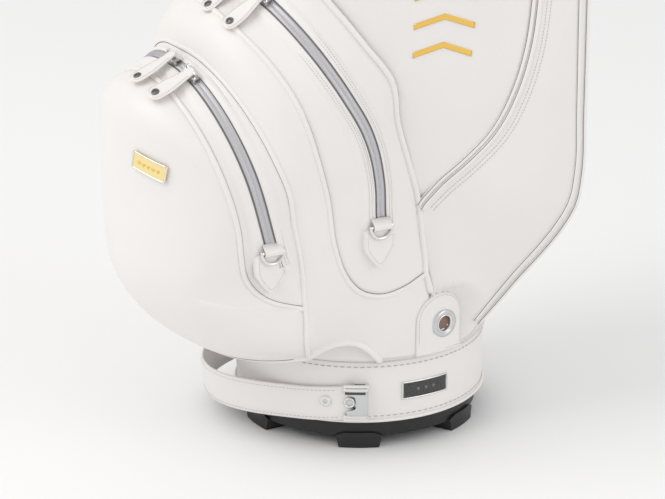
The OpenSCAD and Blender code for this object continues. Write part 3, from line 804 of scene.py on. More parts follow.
@dataclass
class Pull:
    """A leather zip pull with rounded edges, a metal eyelet and a stitched border."""

    name: str
    body: str
    spot: Spot
    length: float = 46.0
    width: float = 17.0
    thick: float = 3.2

    def outline_width(self, along: Array) -> Array:
        """Half width: narrow at the slider, full near the end, closing in a half circle."""
        half = self.width / 2
        neck = 0.62 + 0.38 * step(along, 2, 30)
        tip = np.sqrt(np.clip(1 - np.clip((along - (self.length - half)) / half, 0, 1) ** 2, 0, 1))
        start = np.sqrt(np.clip(1 - np.clip((1.5 - along) / 3.5, 0, 1) ** 2, 0, 1))
        return half * neck * tip * start

    def build(self) -> None:
        """Builds the leather as an outline carried along its length, and dresses it.

        Every ring is a superellipse whose half width follows the outline and whose
        thickness falls towards both ends; the strap sags a little in the middle.
        """
        along = np.r_[-1.8, np.linspace(-1.5, self.length - 5, 30),
                      self.length - 6.25 + 6.25 * np.sin(np.linspace(0.22, np.pi / 2, 10))]
        half = np.maximum(self.outline_width(along), 0.01)
        high = self.thick / 2 * np.clip(half / 3.2, 0.02, 1) ** 0.6
        t = np.linspace(0, 2 * np.pi, 20, endpoint=False)
        c, s = np.cos(t), np.sin(t)
        x = np.sign(c) * np.abs(c) ** 0.55 * half[:, None]
        y = np.sign(s) * np.abs(s) ** 0.8 * high[:, None] + self.sag(along)[:, None]
        local = np.stack([x, y, along[:, None] + 0 * x], -1)
        made = piece(self.name + "_leather", self.spot.place(local),
                     ring_faces(len(along), len(t)), PULL, self.body, 0.02)
        fix_normals(made)
        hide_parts(self.name)
        self.rivet()
        self.edge_line()

    @staticmethod
    def sag(along: Array) -> Array:
        """How far the strap bows from its chord, along its length."""
        return -0.7 * np.sin(np.clip(along / 46, 0, 1) * np.pi)

    def rivet(self) -> None:
        """The eyelet near the free end: a rolled ring round a dark steel dish that paints the shade
        in its hole.
        """
        at = np.array([0, 0.0, self.length - 7.5])
        axis = self.spot.turn @ np.array([0, 1.0, 0])
        up = self.spot.turn @ np.array([0, 0, 1.0])
        centre = self.spot.place(at) + axis * (self.thick / 2 - 0.35)
        ring = np.array([(2.0, 0), (2.1, 0.7), (2.7, 1.1), (3.4, 0.8), (3.8, 0.1), (3.2, -0.4)])
        turned(self.name + "_eyelet", ring, centre, axis, up, DARK_STEEL, self.body, 28)
        # Painted shade: the dark dish stands for the shaded hole of the eyelet.
        dish = np.array([(0.01, 0.38), (1.2, 0.36), (2.1, 0.2), (2.2, -0.3)])
        turned(self.name + "_eyelet_hole_shade", dish, centre, axis, up, DARK_STEEL, self.body, 20)

    def edge_line(self) -> None:
        """Stitches 1.7 mm inside the strap's edge, on its upper face."""
        along = np.linspace(6, self.length - 3.2, 40)
        half = np.maximum(self.outline_width(along) - 1.7, 0.3)
        top = self.thick / 2 * 0.97 + self.sag(along)
        right = np.stack([half, top, along], 1)
        left = right[::-1] * np.array([-1, 1, 1])
        line = self.spot.place(np.vstack([right, left]))
        out = np.tile(self.spot.turn @ np.array([0, 1.0, 0]), (len(line), 1))
        stitches(self.name + "_stitches", line, out, 2.4, 1.6, 0.4, body=self.body)


@dataclass
class RingTab:
    """A pointed leather tab whose loop holds a D-ring."""

    name: str
    at: tuple[float, float, float]
    side: int
    out: tuple[float, float, float] = (1.0, 0.0, 0.0)

    def frame_of(self) -> Spot:
        """Local x runs toward the back, y upward and z out of the bag."""
        out = unit(np.array(self.out, float))
        back = unit(np.cross([0, 0, 1.0], out))
        up = np.cross(out, back)
        spot = Spot(np.stack([back, up, out], 1), np.array(self.at, float))
        if self.side > 0:
            return spot
        flip = np.diag([-1.0, 1.0, 1.0])
        return Spot(flip @ spot.turn, flip @ spot.origin)

    def pad_edge(self, turn: Array) -> Array:
        """The tab's outline at angles round (0, -14): a five-sided shape with soft corners.

        It is the smooth minimum of the distances to its five sides.
        """
        sides = np.radians([90, 0, 180, -142, -38])
        reach = np.array([11.0, 15.5, 15.5, 17.8, 17.8])
        cos = np.clip(np.cos(turn[:, None] - sides[None]), 0.02, 1)
        distance = np.sum((reach[None] / cos) ** -9.0, axis=1) ** (-1 / 9)
        return np.stack([distance * np.cos(turn), -14 + distance * np.sin(turn)], 1)

    def build(self) -> None:
        """Builds the pad, its stitches and the loop over the ring's bar."""
        spot = self.frame_of()
        turn = np.linspace(0, 2 * np.pi, 72, endpoint=False)
        edge = self.pad_edge(turn)
        middle = np.array([0, -14.0])
        share = np.array([0.001, 0.4, 0.8, 0.9, 0.96, 0.99, 1.0, 1.0])
        height = np.array([2.5, 2.5, 2.35, 2.2, 1.8, 1.2, 0.4, -5.5])
        flat = middle + share[:, None, None] * (edge - middle)[None]
        local = np.concatenate([flat, np.broadcast_to(height[:, None, None],
                                                      flat.shape[:2] + (1,))], -1)
        pad = piece(self.name + "_leather", spot.place(local),
                    ring_faces(len(share), len(turn)), PULL, BAG, 0.02)
        self.look_out(pad, spot)
        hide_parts(self.name)
        inner = middle + 0.84 * (edge - middle)
        line = spot.place(np.column_stack([inner, np.full(len(inner), 2.32)]))
        keep = inner[:, 1] < -8
        order = np.roll(np.arange(len(line)), -int(np.argmax(~keep & np.roll(keep, -1))) - 1)
        line = line[order][:int(keep.sum())]
        out = np.tile(spot.turn[:, 2], (len(line), 1))
        stitches(self.name + "_stitches", line, out, 2.6, 1.7, 0.45)
        self.loop(spot)

    def look_out(self, made: bpy.types.Object, spot: Spot) -> None:
        """Turns an open-backed pad's faces away from the bag."""
        mesh = made.data
        mesh.update()
        normals = np.empty(len(mesh.polygons) * 3)
        mesh.polygons.foreach_get("normal", normals)
        if np.sum(normals.reshape(-1, 3) @ spot.turn[:, 2]) < 0:
            mesh.flip_normals()

    def loop(self, spot: Spot) -> None:
        """The leather folded over the bar: a half round carried across, closed at its ends."""
        round_bar = np.linspace(0.15, 1, 16) * np.pi - 0.1
        fold = np.stack([3.5 * np.cos(round_bar), 4.6 + 3.4 * np.sin(round_bar)], 1)
        path = np.vstack([[(7.6, 1.5)], fold, [(-3.9, 2.6), (-6.5, 2.0), (-10, 1.5)]])
        x = np.array([-9.2, -9.0, -8.4, 0, 8.4, 9.0, 9.2])
        squeeze = np.array([0.93, 0.97, 1, 1, 1, 0.97, 0.93])
        local = np.stack([np.broadcast_to(x[:, None], (len(x), len(path))),
                          path[None, :, 0] * squeeze[:, None],
                          path[None, :, 1] * squeeze[:, None]], -1)
        made = panel(self.name + "_loop", spot.place(local), PULL,
                     spot.place(np.array([0, 0, 4.4])), 1.5)
        made.data.materials[0] = DRESS.material(PULL)


TAB_TURN, TAB_Z, TAB_HALF = 97.3, 124.0, 26.0    # the eyelet tab's bearing, centre, half width
EYELET_TURN, EYELET_Z = 99.0, 119.0              # the big eyelet's bearing and height
HEM_BAND = 10.5                                  # the hem band's height up the ball pocket


def under_tab(grid: Array) -> Array:
    """Presses panels down where the eyelet tab lies over them.

    A point's radius is at most 121.2 + 1.6 (d + 1.5), where d is its distance outside
    the tab's outline, and at least 121.2.
    """
    radius = np.hypot(grid[..., 0], grid[..., 1])
    bearing = np.degrees(np.arctan2(grid[..., 0], -grid[..., 1]))
    across = np.radians(bearing - TAB_TURN) * 122
    over = grid[..., 2] - TAB_Z
    beyond = np.where(over > 0, np.hypot(across, over), np.abs(across)) - TAB_HALF
    limit = 121.2 + 1.6 * np.maximum(beyond + 1.5, 0)
    shrink = np.where(grid[..., 2] < 175, np.minimum(1, limit / np.maximum(radius, 1)), 1)
    return grid * np.stack([shrink, shrink, np.ones_like(shrink)], -1)


class BallPocket:
    """The big front pocket: bowed front panel, zipped gusset, piping and hem."""

    front_radius = 128.0
    middle_height = 205.0
    rounding = 36.0

    def middle_y(self, z: Array) -> Array:
        """The front panel's place on the middle plane at each height."""
        z_at = [88, 98, 110, 124, 140, 158, 180, 212, 260, 325, 420]
        y_at = [-163, -181, -199, -216, -230, -241.5, -250, -254, -255, -254.5, -253]
        return through(np.array(y_at)[:, None], z_at, np.clip(z, 88, 420).ravel()
                       )[:, 0].reshape(z.shape)

    def front_y(self, x: Array, z: Array) -> Array:
        """The bowed front without its rounded edge: a circle in plan behind the middle line."""
        r = self.front_radius
        return self.middle_y(z) + r - np.sqrt(np.maximum(r**2 - x**2, 100.0))

    def edge(self) -> Array:
        """The front panel's outline on the right, from the top to the middle of the hem."""
        return np.vstack([SEAMS.ball_front(), SEAMS.rear_foot()[1:], SEAMS.hem_front()[::-1][1:]])

    def front_grid(self) -> Array:
        """Spokes from the panel's middle to its outline.

        A spoke's points lie on the bowed front. Near the outline they drop back to it
        along a quarter circle whose radius is the drop, between 9 and the full rounding.
        """
        half = self.edge()
        edge = np.concatenate([half, mirrored(half[-2:0:-1])])
        share = 1 - np.linspace(1, 0, 30) ** 1.6
        x = edge[:, None, 0] * share[None]
        z = self.middle_height + (edge[:, None, 2] - self.middle_height) * share[None]
        base = self.front_y(x, z)
        drop = edge[:, 1] - self.front_y(edge[:, 0], edge[:, 2])
        reach = np.hypot(edge[:, 0], edge[:, 2] - self.middle_height)
        radius = np.clip(np.abs(drop), 9.0, self.rounding)
        near = np.clip(1 - (1 - share[None]) * reach[:, None] / radius[:, None], 0, 1)
        fall = drop[:, None] * (1 - np.sqrt(1 - near**2))
        return np.stack([x, base + fall, z], -1)

    def build(self) -> None:
        """Builds the panels, piping, zip and hem of the pocket."""
        centre = np.array([0, -150.0, 250.0])
        front = panel("ball_pocket_front_leather", self.front_grid(), WHITE, centre, 2.4, wrap=True)
        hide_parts("ball_pocket_front")
        end = SEAMS.ball_steps[0] + 16
        grid, normals = gusset_grid(SEAMS.ball_front(), SEAMS.ball_zip(), SEAMS.ball_rear(),
                                    24.5, 29.0, end)
        full, out = both_sides(grid), both_sides(normals)
        gusset = panel("ball_pocket_gusset_leather", full, WHITE, centre, 2.0)
        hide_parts("ball_pocket_gusset")
        self.seam_rolls()
        dress_zip("ball", full, out, SEAMS.ball_zip(), end)
        self.floor()

    def seam_rolls(self) -> None:
        """The piping on the front and rear seams, with a line of painted shade beside each."""
        for name, seam in (("ball_front", SEAMS.ball_front()),
                           ("ball_rear", np.vstack([SEAMS.ball_rear(), SEAMS.rear_foot()[1:]]))):
            piped(name, both_sides(seam), np.array([0, -120.0, 235.0]), 5.0)
        rolled = np.vstack([SEAMS.hem_front(), SEAMS.half_moon()[1:], [(112.5, -43, 89)]])
        thin = 1 - 0.42 * step(np.arange(len(rolled)) / len(rolled), 0.45, 0.8)
        rolled[:, 2] += 3.2 * (thin - 0.58) / 0.42
        path, scale = both_sides(rolled), np.r_[thin[:0:-1], thin]
        facing = unit(path - np.array([0, -40.0, 105.0]))
        cord_piece("hem_roll", path, 11.5, PIPING, facing, 8.8, sides=16, scale=scale)
        self.hem_line()

    def hem_line(self) -> None:
        """A line of painted shade along the top of the hem band, measured up the front from the
        hem.
        """
        grid = self.front_grid()
        low = len(SEAMS.ball_front()) + len(SEAMS.rear_foot()) - 2
        rows = np.arange(low, low + 2 * len(SEAMS.hem_front()) - 1)
        spokes = grid[rows, ::-1]
        along = np.cumsum(np.linalg.norm(np.diff(spokes, axis=1), axis=2), axis=1)
        count = np.sum(along < HEM_BAND, axis=1)
        line = spokes[np.arange(len(rows)), count + 1]
        before = spokes[np.arange(len(rows)), count]
        reach = along[np.arange(len(rows)), count]
        share = (reach - HEM_BAND) / np.linalg.norm(line - before, axis=1)
        path = line + share[:, None] * (before - line)
        facing = unit(path - np.array([0, -120.0, 190.0]))
        # Painted shade: the hem band's fold drawn as a thin dark cord.
        cord_piece("hem_painted_shade", path + 0.1 * facing, 0.8, SEAM_SHADE, facing, sides=6)

    def floor(self) -> None:
        """The underside between the hem and the collar, sagging 3 mm in its middle."""
        hem = np.vstack([SEAMS.hem_front(), SEAMS.half_moon()[1:-3]])
        inner = 119.5 * unit(hem * np.array([1, 1, 0]))
        inner[:, 2] = hem[:, 2] + 1.0
        share = np.linspace(0, 1, 8)
        grid = hem[:, None] * (1 - share)[None, :, None] + inner[:, None] * share[None, :, None]
        grid[..., 2] += 1.5 - 2 * np.sin(np.pi * share)[None]
        panel("ball_pocket_floor", both_sides(grid), WHITE, np.array([0, -150.0, 200.0]), 2.0)


def piped(name: str, path: Array, centre: Array, width: float = 4.4) -> None:
    """A seam's piping, and a fine dark cord of painted shade on both of its sides.

    Args:
        name: The seam's name.
        path: Points along it.
        centre: A point inside the pocket.
        width: Width of the piping.
    """
    facing = unit(path - centre)
    fine = respace(path, 3.0)
    out = unit(fine - centre)
    cord_piece(name + "_piping", fine, width, PIPING, out, sides=12)
    tangent = unit(np.gradient(path, axis=0))
    across = unit(np.cross(tangent, facing))
    # Painted shade: a thin dark cord where the piping's shadow falls on each side.
    for side, label in ((-1, "ahead"), (1, "behind")):
        line = path + across * side * (width / 2 - 0.15) - facing * 0.55
        cord_piece(f"{name}_crease_{label}", line, 0.75, SEAM_SHADE, facing, sides=5)


def dress_zip(name: str, grid: Array, out: Array, middle: Array, end: int) -> None:
    """The tape, coil and stitches of an arch zip.

    Args:
        name: ball or cooler.
        grid: The whole gusset, left to right.
        out: Its outward directions.
        middle: The zip's line on the right.
        end: Rows from the top to the zip's end.
    """
    half = middle[:end + 1]
    line = both_sides(half)
    mid_row = grid.shape[0] // 2
    rows = slice(mid_row - end, mid_row + end + 1)
    column = int(np.argmin(np.linalg.norm(grid[mid_row] - middle[0], axis=1)))
    facing = out[rows, column]
    tape = zip_ribbon(name + "_zip_tape", line, facing, 12.6, 0.7, ZIP_TAPE)
    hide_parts(name + "_zip")
    zip_ribbon(name + "_zip_coil", line, facing, 8.2, 1.7, ZIP_COIL, 0.35, 2.0)
    offsets = ((-9.2, 0), (-11.9, 1), (9.2, 2), (11.9, 3))
    tangent = unit(np.gradient(line, axis=0))
    across = unit(np.cross(tangent, facing))
    for offset, number in offsets:
        seam = line + across * offset + facing * 1.65
        stitches(f"{name}_zip_stitches_{number}", seam, facing, 2.7, 1.7, 0.42)
    for side in (-1, 1):
        lip = line + across * side * 6.5 + facing * 1.25
        cord_piece(f"{name}_zip_lip_{'rear' if side > 0 else 'front'}", lip, 1.5, PIPING,
                   facing, sides=8)
        # Painted shade: a thin dark cord where the lip's shadow falls on the tape.
        shade = line + across * side * 5.6 + facing * 0.75
        cord_piece(f"{name}_zip_shade_{'rear' if side > 0 else 'front'}", shade, 0.7, SEAM_SHADE,
                   facing, sides=5)


class CoolerPocket:
    """The wide pocket behind the ball pocket: front, zipped gusset, piping."""

    def front_grid(self) -> Array:
        """The wide front between the ball pocket's rear seam and hem and the cooler's seam.

        Rows are straight lines between the two edges, swelled outward by 5 mm in the
        middle, and by less towards the collar.
        """
        inner, outer = SEAMS.wide_inner(), SEAMS.wide_outer()
        share = np.linspace(0, 1, 29)
        grid = inner[:, None] * (1 - share)[None, :, None] + outer[:, None] * share[None, :, None]
        swell = 5.0 * np.sin(np.pi * share) ** 0.8
        rows = np.arange(len(inner)) / (len(inner) - 1)
        calm = 1 - 0.6 * step(rows, 0.55, 0.8) - 0.4 * step(rows, 0.8, 1.0)
        grid = grid + (swell[None] * calm[:, None])[..., None] * grid_normals(grid, INSIDE)
        span = 19
        padded = np.pad(grid, ((span // 2, span // 2), (0, 0), (0, 0)), mode="edge")
        total = np.cumsum(np.concatenate([np.zeros_like(padded[:1]), padded]), 0)
        even = (total[span:] - total[:-span]) / span
        blend = (step(share, 0, 0.18) * step(1 - share, 0, 0.25))[None, :, None]
        low = (step(rows, 0.42, 0.5) * (1 - step(rows, 0.8, 0.95)))[:, None, None]
        return grid + blend * low * (even - grid)

    def build(self) -> None:
        """Builds the panels, piping and zip of the pocket."""
        grid = self.front_grid()
        front = panel("cooler_pocket_front_leather", under_tab(both_sides(grid)), WHITE, INSIDE,
                      2.2)
        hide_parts("cooler_pocket_front")
        end = SEAMS.cool_steps[0] + 15
        grid, normals = gusset_grid(SEAMS.cool_front(), SEAMS.cool_zip(), SEAMS.cool_rear(),
                                    42.0, 44.0, end)
        full, out = both_sides(grid), both_sides(normals)
        gusset = panel("cooler_pocket_gusset_leather", full, WHITE, INSIDE, 2.0)
        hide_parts("cooler_pocket_gusset")
        dress_zip("cooler", full, out, SEAMS.cool_zip(), end)
        piped("cooler_front", both_sides(SEAMS.cool_front()), INSIDE, 5.0)
        rear = both_sides(np.vstack([SEAMS.cool_rear(), SEAMS.rear_tail()[1:]]))
        shown = rear[(rear[:, 0] < 0) | (rear[:, 2] > 147)]
        piped("cooler_rear", shown, np.array([0, 10.0, 270.0]), 6.2)


class Body:
    """The leather round the club tube, with flat side panels that flare to the side pockets."""

    heights = (89, 200, 246, 262, 288, 304, 345, 385, 430, 560, 640, 676, 697, 712, 803)
    reach = (122, 122, 122.6, 134, 147, 158.4, 173, 181, 185, 186, 184, 166, 142, 122, 122)
    bearing = (84, 84, 85, 94, 103, 108.8, 113.5, 116, 117, 118, 118, 118, 118, 118, 118)

    def flare(self, z: Array) -> tuple[Array, Array]:
        """The distance and bearing of the panel's rear edge at each height."""
        reach = np.interp(z, self.heights, self.reach)
        bearing = np.interp(z, self.heights, self.bearing)
        box = np.ones(9) / 9
        pad = np.pad(reach, 4, mode="edge")
        return (np.maximum(np.convolve(pad, box, "valid"), BODY_SKIN),
                np.convolve(np.pad(bearing, 4, mode="edge"), box, "valid"))

    def edge_line(self) -> Array:
        """The rear edge of the right side panel, from the collar to the cuff."""
        z = np.linspace(89.6, 802, 179)
        reach, bearing = self.flare(z)
        a = np.radians(bearing)
        return np.stack([reach * np.sin(a), -reach * np.cos(a), z], 1)

    def grid(self) -> Array:
        """Rows go up, columns round from the front's middle to the panel's rear edge.

        Each row follows the body's circle to the point where the straight line to the
        rear edge touches it, and then that line, swelled by 2.5 mm in its middle.
        """
        edge = self.edge_line()
        reach = np.hypot(edge[:, 0], edge[:, 1])
        bearing = np.degrees(np.arctan2(edge[:, 0], -edge[:, 1]))
        leave = bearing - np.degrees(np.arccos(np.clip(BODY_SKIN / reach, 0, 1)))
        round_share = np.linspace(0, 1, 40, endpoint=False)
        a = np.radians(leave[:, None] * round_share[None])
        arc = np.stack([BODY_SKIN * np.sin(a), -BODY_SKIN * np.cos(a),
                        np.broadcast_to(edge[:, 2:], a.shape)], -1)
        share = np.linspace(0, 1, 24)
        t = np.radians(leave)
        start = np.stack([BODY_SKIN * np.sin(t), -BODY_SKIN * np.cos(t), edge[:, 2]], -1)
        flat = start[:, None] + share[None, :, None] * (edge - start)[:, None]
        swell = 2.5 * np.sin(np.pi * share)[None] * step(reach, 130, 180)[:, None]
        out = np.stack([np.sin(t + 0.12), -np.cos(t + 0.12), 0 * t], -1)
        return np.concatenate([arc, flat + swell[..., None] * out[:, None]], 1)

    def build(self) -> None:
        """Builds the wrap, the back, the rear spine with its piping, and the motif."""
        half = self.grid()
        full = np.swapaxes(both_sides(np.swapaxes(half, 0, 1)), 0, 1)
        skin = panel("body_leather", full, SOFT_WHITE, np.array([0, 0, 400.0]), 0.7)
        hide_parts("body_shell")
        self.back()
        self.spine()
        self.motif(half)

    def back(self) -> None:
        """The wrap behind the side panels: the body's circle from bearing 80 to 280."""
        a = np.radians(np.linspace(80, 280, 90))
        z = np.linspace(89.6, 802, 60)
        a, z = np.meshgrid(a, z)
        r = BODY_SKIN - 0.5
        grid = np.stack([r * np.sin(a), -r * np.cos(a), z], -1)
        panel("body_back_leather", grid, SOFT_WHITE, np.array([0, 0, 400.0]), 0.3)

    def spine(self) -> None:
        """The stiff strip down the back, crowned by 1.2 mm and piped along both edges."""
        low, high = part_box("spine_strip")
        half, top = high[0] / MM, high[2] / MM
        x = np.linspace(-half, half, 25)
        z = np.linspace(low[2] / MM, top, 70)
        x, z = np.meshgrid(x, z)
        y = np.sqrt(124.0**2 - x**2) + 1.2 * (1 - (x / half) ** 4)
        made = panel("spine_leather", np.stack([x, y, z], -1), WHITE, np.array([0, 0, 400.0]), 3.0)
        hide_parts("spine_strip")
        z = np.linspace(low[2] / MM + 2, top - 2, 120)
        for side in (-1, 1):
            x = np.full_like(z, side * (half + 0.4))
            line = np.stack([x, np.sqrt(123.6**2 - x**2), z], 1)
            out = unit(line * np.array([1, 1, 0]))
            cord_piece(f"spine_piping_{'r' if side > 0 else 'l'}", line, 4.2, PIPING, out)
            x = np.full_like(z, side * (half - 5.5))
            seam = np.stack([x, np.sqrt(124.0**2 - x**2) + 0.9, z], 1)
            stitches(f"spine_stitches_{'r' if side > 0 else 'l'}", seam, out, 3.4, 2.4, 0.55)

    def motif(self, half: Array) -> None:
        """Three plain gold chevrons on each flat side panel."""
        z_of = half[:, -1, 2]
        flat = half[:, 40:]
        wide = np.linspace(-1, 1, 25)
        for number, height in enumerate((391.0, 417.0, 443.0)):
            for side, label in ((1, "r"), (-1, "l")):
                share = 0.42 + 0.20 * wide
                low = height - 9.0 * np.abs(wide)
                rows = []
                for lift in np.linspace(-2.6, 2.6, 5):
                    row = np.interp(low + lift, z_of, np.arange(len(z_of)))
                    rows.append(grid_at(flat, row, share * (flat.shape[1] - 1)))
                grid = np.stack(rows)
                normals = grid_normals(grid, np.array([0, 0, 400.0]))
                grid = grid + 0.8 * normals
                grid = grid if side > 0 else mirrored(grid)
                panel(f"motif_{label}_{number}", grid, GOLD, np.array([0, 0, 400.0]), 0.9)


def grid_at(grid: Array, row: Array, col: Array) -> Array:
    """Points of a grid at fractional rows and columns, mixed from their four neighbours."""
    r = np.clip(np.floor(row).astype(int), 0, grid.shape[0] - 2)
    c = np.clip(np.floor(col).astype(int), 0, grid.shape[1] - 2)
    u, v = (row - r)[:, None], (col - c)[:, None]
    return ((1 - u) * (1 - v) * grid[r, c] + u * (1 - v) * grid[r + 1, c]
            + (1 - u) * v * grid[r, c + 1] + u * v * grid[r + 1, c + 1])


class SidePocket:
    """A stuffed side pocket: outer flank, bottom and rear, with piping and a rear zip."""

    steps = (14, 30, 24, 22)

    def front_edge(self) -> Array:
        """Up the cooler's rear seam to the V, then up the side panel's edge to the top."""
        edge = Body().edge_line()
        pick = edge[edge[:, 2] > 250]
        z = np.array([258, 282, 310, 345, 385, 430])
        mid = np.array([430, 500, 570, 640])
        top = np.array([640, 660, 676, 688, 700, 712])

        def at(heights: Array) -> Array:
            """Points of the edge at heights."""
            return np.stack([np.interp(heights, pick[:, 2], pick[:, k]) for k in range(3)], 1)
        return seam_curve([[(121.8, 16, 92), (124, 9, 128), (126, -2, 185), (127.2, -12, 240)],
                           at(z), at(mid)[1:], at(top)[1:]], list(self.steps))

    def rear_edge(self) -> Array:
        """The outermost edge: up the slanting bottom, up the rear corner, over the top."""
        return seam_curve([
            [(112, 36, 91), (116.7, 47.5, 96.5), (123, 62, 115), (131.3, 76, 135)],
            [(142.4, 90.4, 158.8), (154.3, 104, 181), (166, 117.6, 205.6), (174, 129, 232),
             (176, 133.5, 262), (176, 134, 320), (176, 134, 430)],
            [(175.5, 134, 520), (174, 133, 600), (172, 132, 640)],
            [(168, 129, 662), (160, 122, 680), (146, 110, 695), (126, 94, 706), (99, 73, 714)],
        ], list(self.steps))

    def inner_edge(self) -> Array:
        """Where the bottom and rear return to the body."""
        return seam_curve([
            [(110, 42, 92), (106, 57, 98), (101, 68, 117), (94, 80, 137)],
            [(84, 90, 160), (72, 99, 182), (60, 106, 207), (50, 111, 234), (46, 113, 264),
             (46, 113, 320), (46, 113, 430)],
            [(46, 113, 520), (46, 113, 600), (46, 113, 640)],
            [(46, 113, 662), (46, 113, 680), (47, 112.5, 695), (48, 112, 706), (50, 111, 714)],
        ], list(self.steps))

    def build(self, side: int) -> None:
        """Builds the pocket on one side, 1 being the right."""
        label = "r" if side > 0 else "l"
        place = (lambda p: p) if side > 0 else mirrored
        centre = place(np.array([100.0, 60.0, 420.0]))
        share = np.linspace(0, 1, 26)
        front, rear, inner = self.front_edge(), self.rear_edge(), self.inner_edge()
        flank = front[:, None] * (1 - share)[None, :, None] + rear[:, None] * share[None, :, None]
        width = np.linalg.norm(rear - front, axis=1)
        swell = np.clip(width * 0.09, 0, 8.0)[:, None] * np.sin(np.pi * share)[None]
        flank += swell[..., None] * grid_normals(flank, place(centre))
        made = panel(f"side_pocket_{label}_flank", under_tab(place(flank)), SOFT_WHITE, centre,
                     2.2)
        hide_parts(f"side_pocket_{label}")
        back = self.rear_grid(rear, inner, share)
        made = panel(f"side_pocket_{label}_rear", under_tab(place(back)), SOFT_WHITE, centre,
                     2.2)
        self.trim(label, place, front, rear, flank)
        self.zip(label, place)

    @staticmethod
    def rear_grid(rear: Array, inner: Array, share: Array) -> Array:
        """Across the rear: straight in X and Z, and in Y flat before it turns in late.

        y = rear + (inner - rear) * share^6, plus up to 4 mm of swell on the rear face.
        """
        grid = rear[:, None] * (1 - share)[None, :, None] + inner[:, None] * share[None, :, None]
        late = share[None] ** 6
        grid[..., 1] = rear[:, 1:2] * (1 - late) + inner[:, 1:2] * late
        swell = 3.4 * step(rear[:, 1], 110, 133)[:, None]
        grid[..., 1] += swell * (1 - (1 - share[None]) ** 6) * (1 - late)
        return grid

    def trim(self, label: str, place: object, front: Array, rear: Array, flank: Array) -> None:
        """Piping on the edges, and the stitched double band behind the front edge."""
        start = self.steps[0]
        lip = front[start:-2]
        out_at = place(np.array([100.0, 60.0, 420.0]))
        for number, shift in enumerate((0.0, 5.2)):
            rows = np.arange(start, len(front) - 2).astype(float)
            width = np.linalg.norm(rear - front, axis=1)[start:-2]
            col = np.clip(shift / np.maximum(width, 1), 0, 1) * (flank.shape[1] - 1)
            line = grid_at(flank, rows, col) if number else lip
            piped(f"side_{label}_front_{number}", place(line), out_at, 4.6 if number else 4.2)
        rows = np.arange(start + 1, len(front) - 2).astype(float)
        width = np.linalg.norm(rear - front, axis=1)[start + 1:-2]
        for number, shift in enumerate((11.5, 15.0)):
            col = np.clip(shift / np.maximum(width, 1), 0, 0.9) * (flank.shape[1] - 1)
            line = place(grid_at(flank, rows, col))
            out = unit(line - place(np.array([60.0, 40.0, 0])) * np.array([1, 1, 0])
                       - np.array([0, 0, 1]) * line[:, 2:3])
            line = line + out * 0.25
            stitches(f"side_{label}_stitches_{number}", line, out, 3.0, 2.0, 0.5)
        rows = np.arange(7, len(rear) - 6).astype(float)
        width = np.linalg.norm(rear - front, axis=1)[7:-6]
        for number, inset in enumerate((0.0, 8.5)):
            col = (1 - np.clip(inset / np.maximum(width, 1), 0, 0.9)) * (flank.shape[1] - 1)
            line = grid_at(flank, rows, col)
            piped(f"side_{label}_rear_{number}", place(line), out_at, 4.2)

    @staticmethod
    def zip(label: str, place: object) -> None:
        """The straight zip on the rear face."""
        low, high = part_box(f"side_zip_{label}")
        x = abs(low[0] + high[0]) / 2 / MM
        z = np.linspace(low[2] / MM, high[2] / MM, 60)
        line = place(np.stack([x + 0 * z, 137.9 + 0 * z, z], 1))
        out = np.tile([0.0, 1.0, 0.0], (len(z), 1))
        tape = zip_ribbon(f"side_{label}_zip_tape", line, out, 12.6, 0.7, ZIP_TAPE)
        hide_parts(f"side_zip_{label}")
        zip_ribbon(f"side_{label}_zip_coil", line, out, 8.2, 1.7, ZIP_COIL, 0.35, 2.0)
        for shift, number in ((-9.0, 0), (9.0, 1)):
            seam = line + np.array([shift, 0.35, 0])
            stitches(f"side_{label}_zip_stitches_{number}", seam, out, 2.7, 1.8, 0.45)


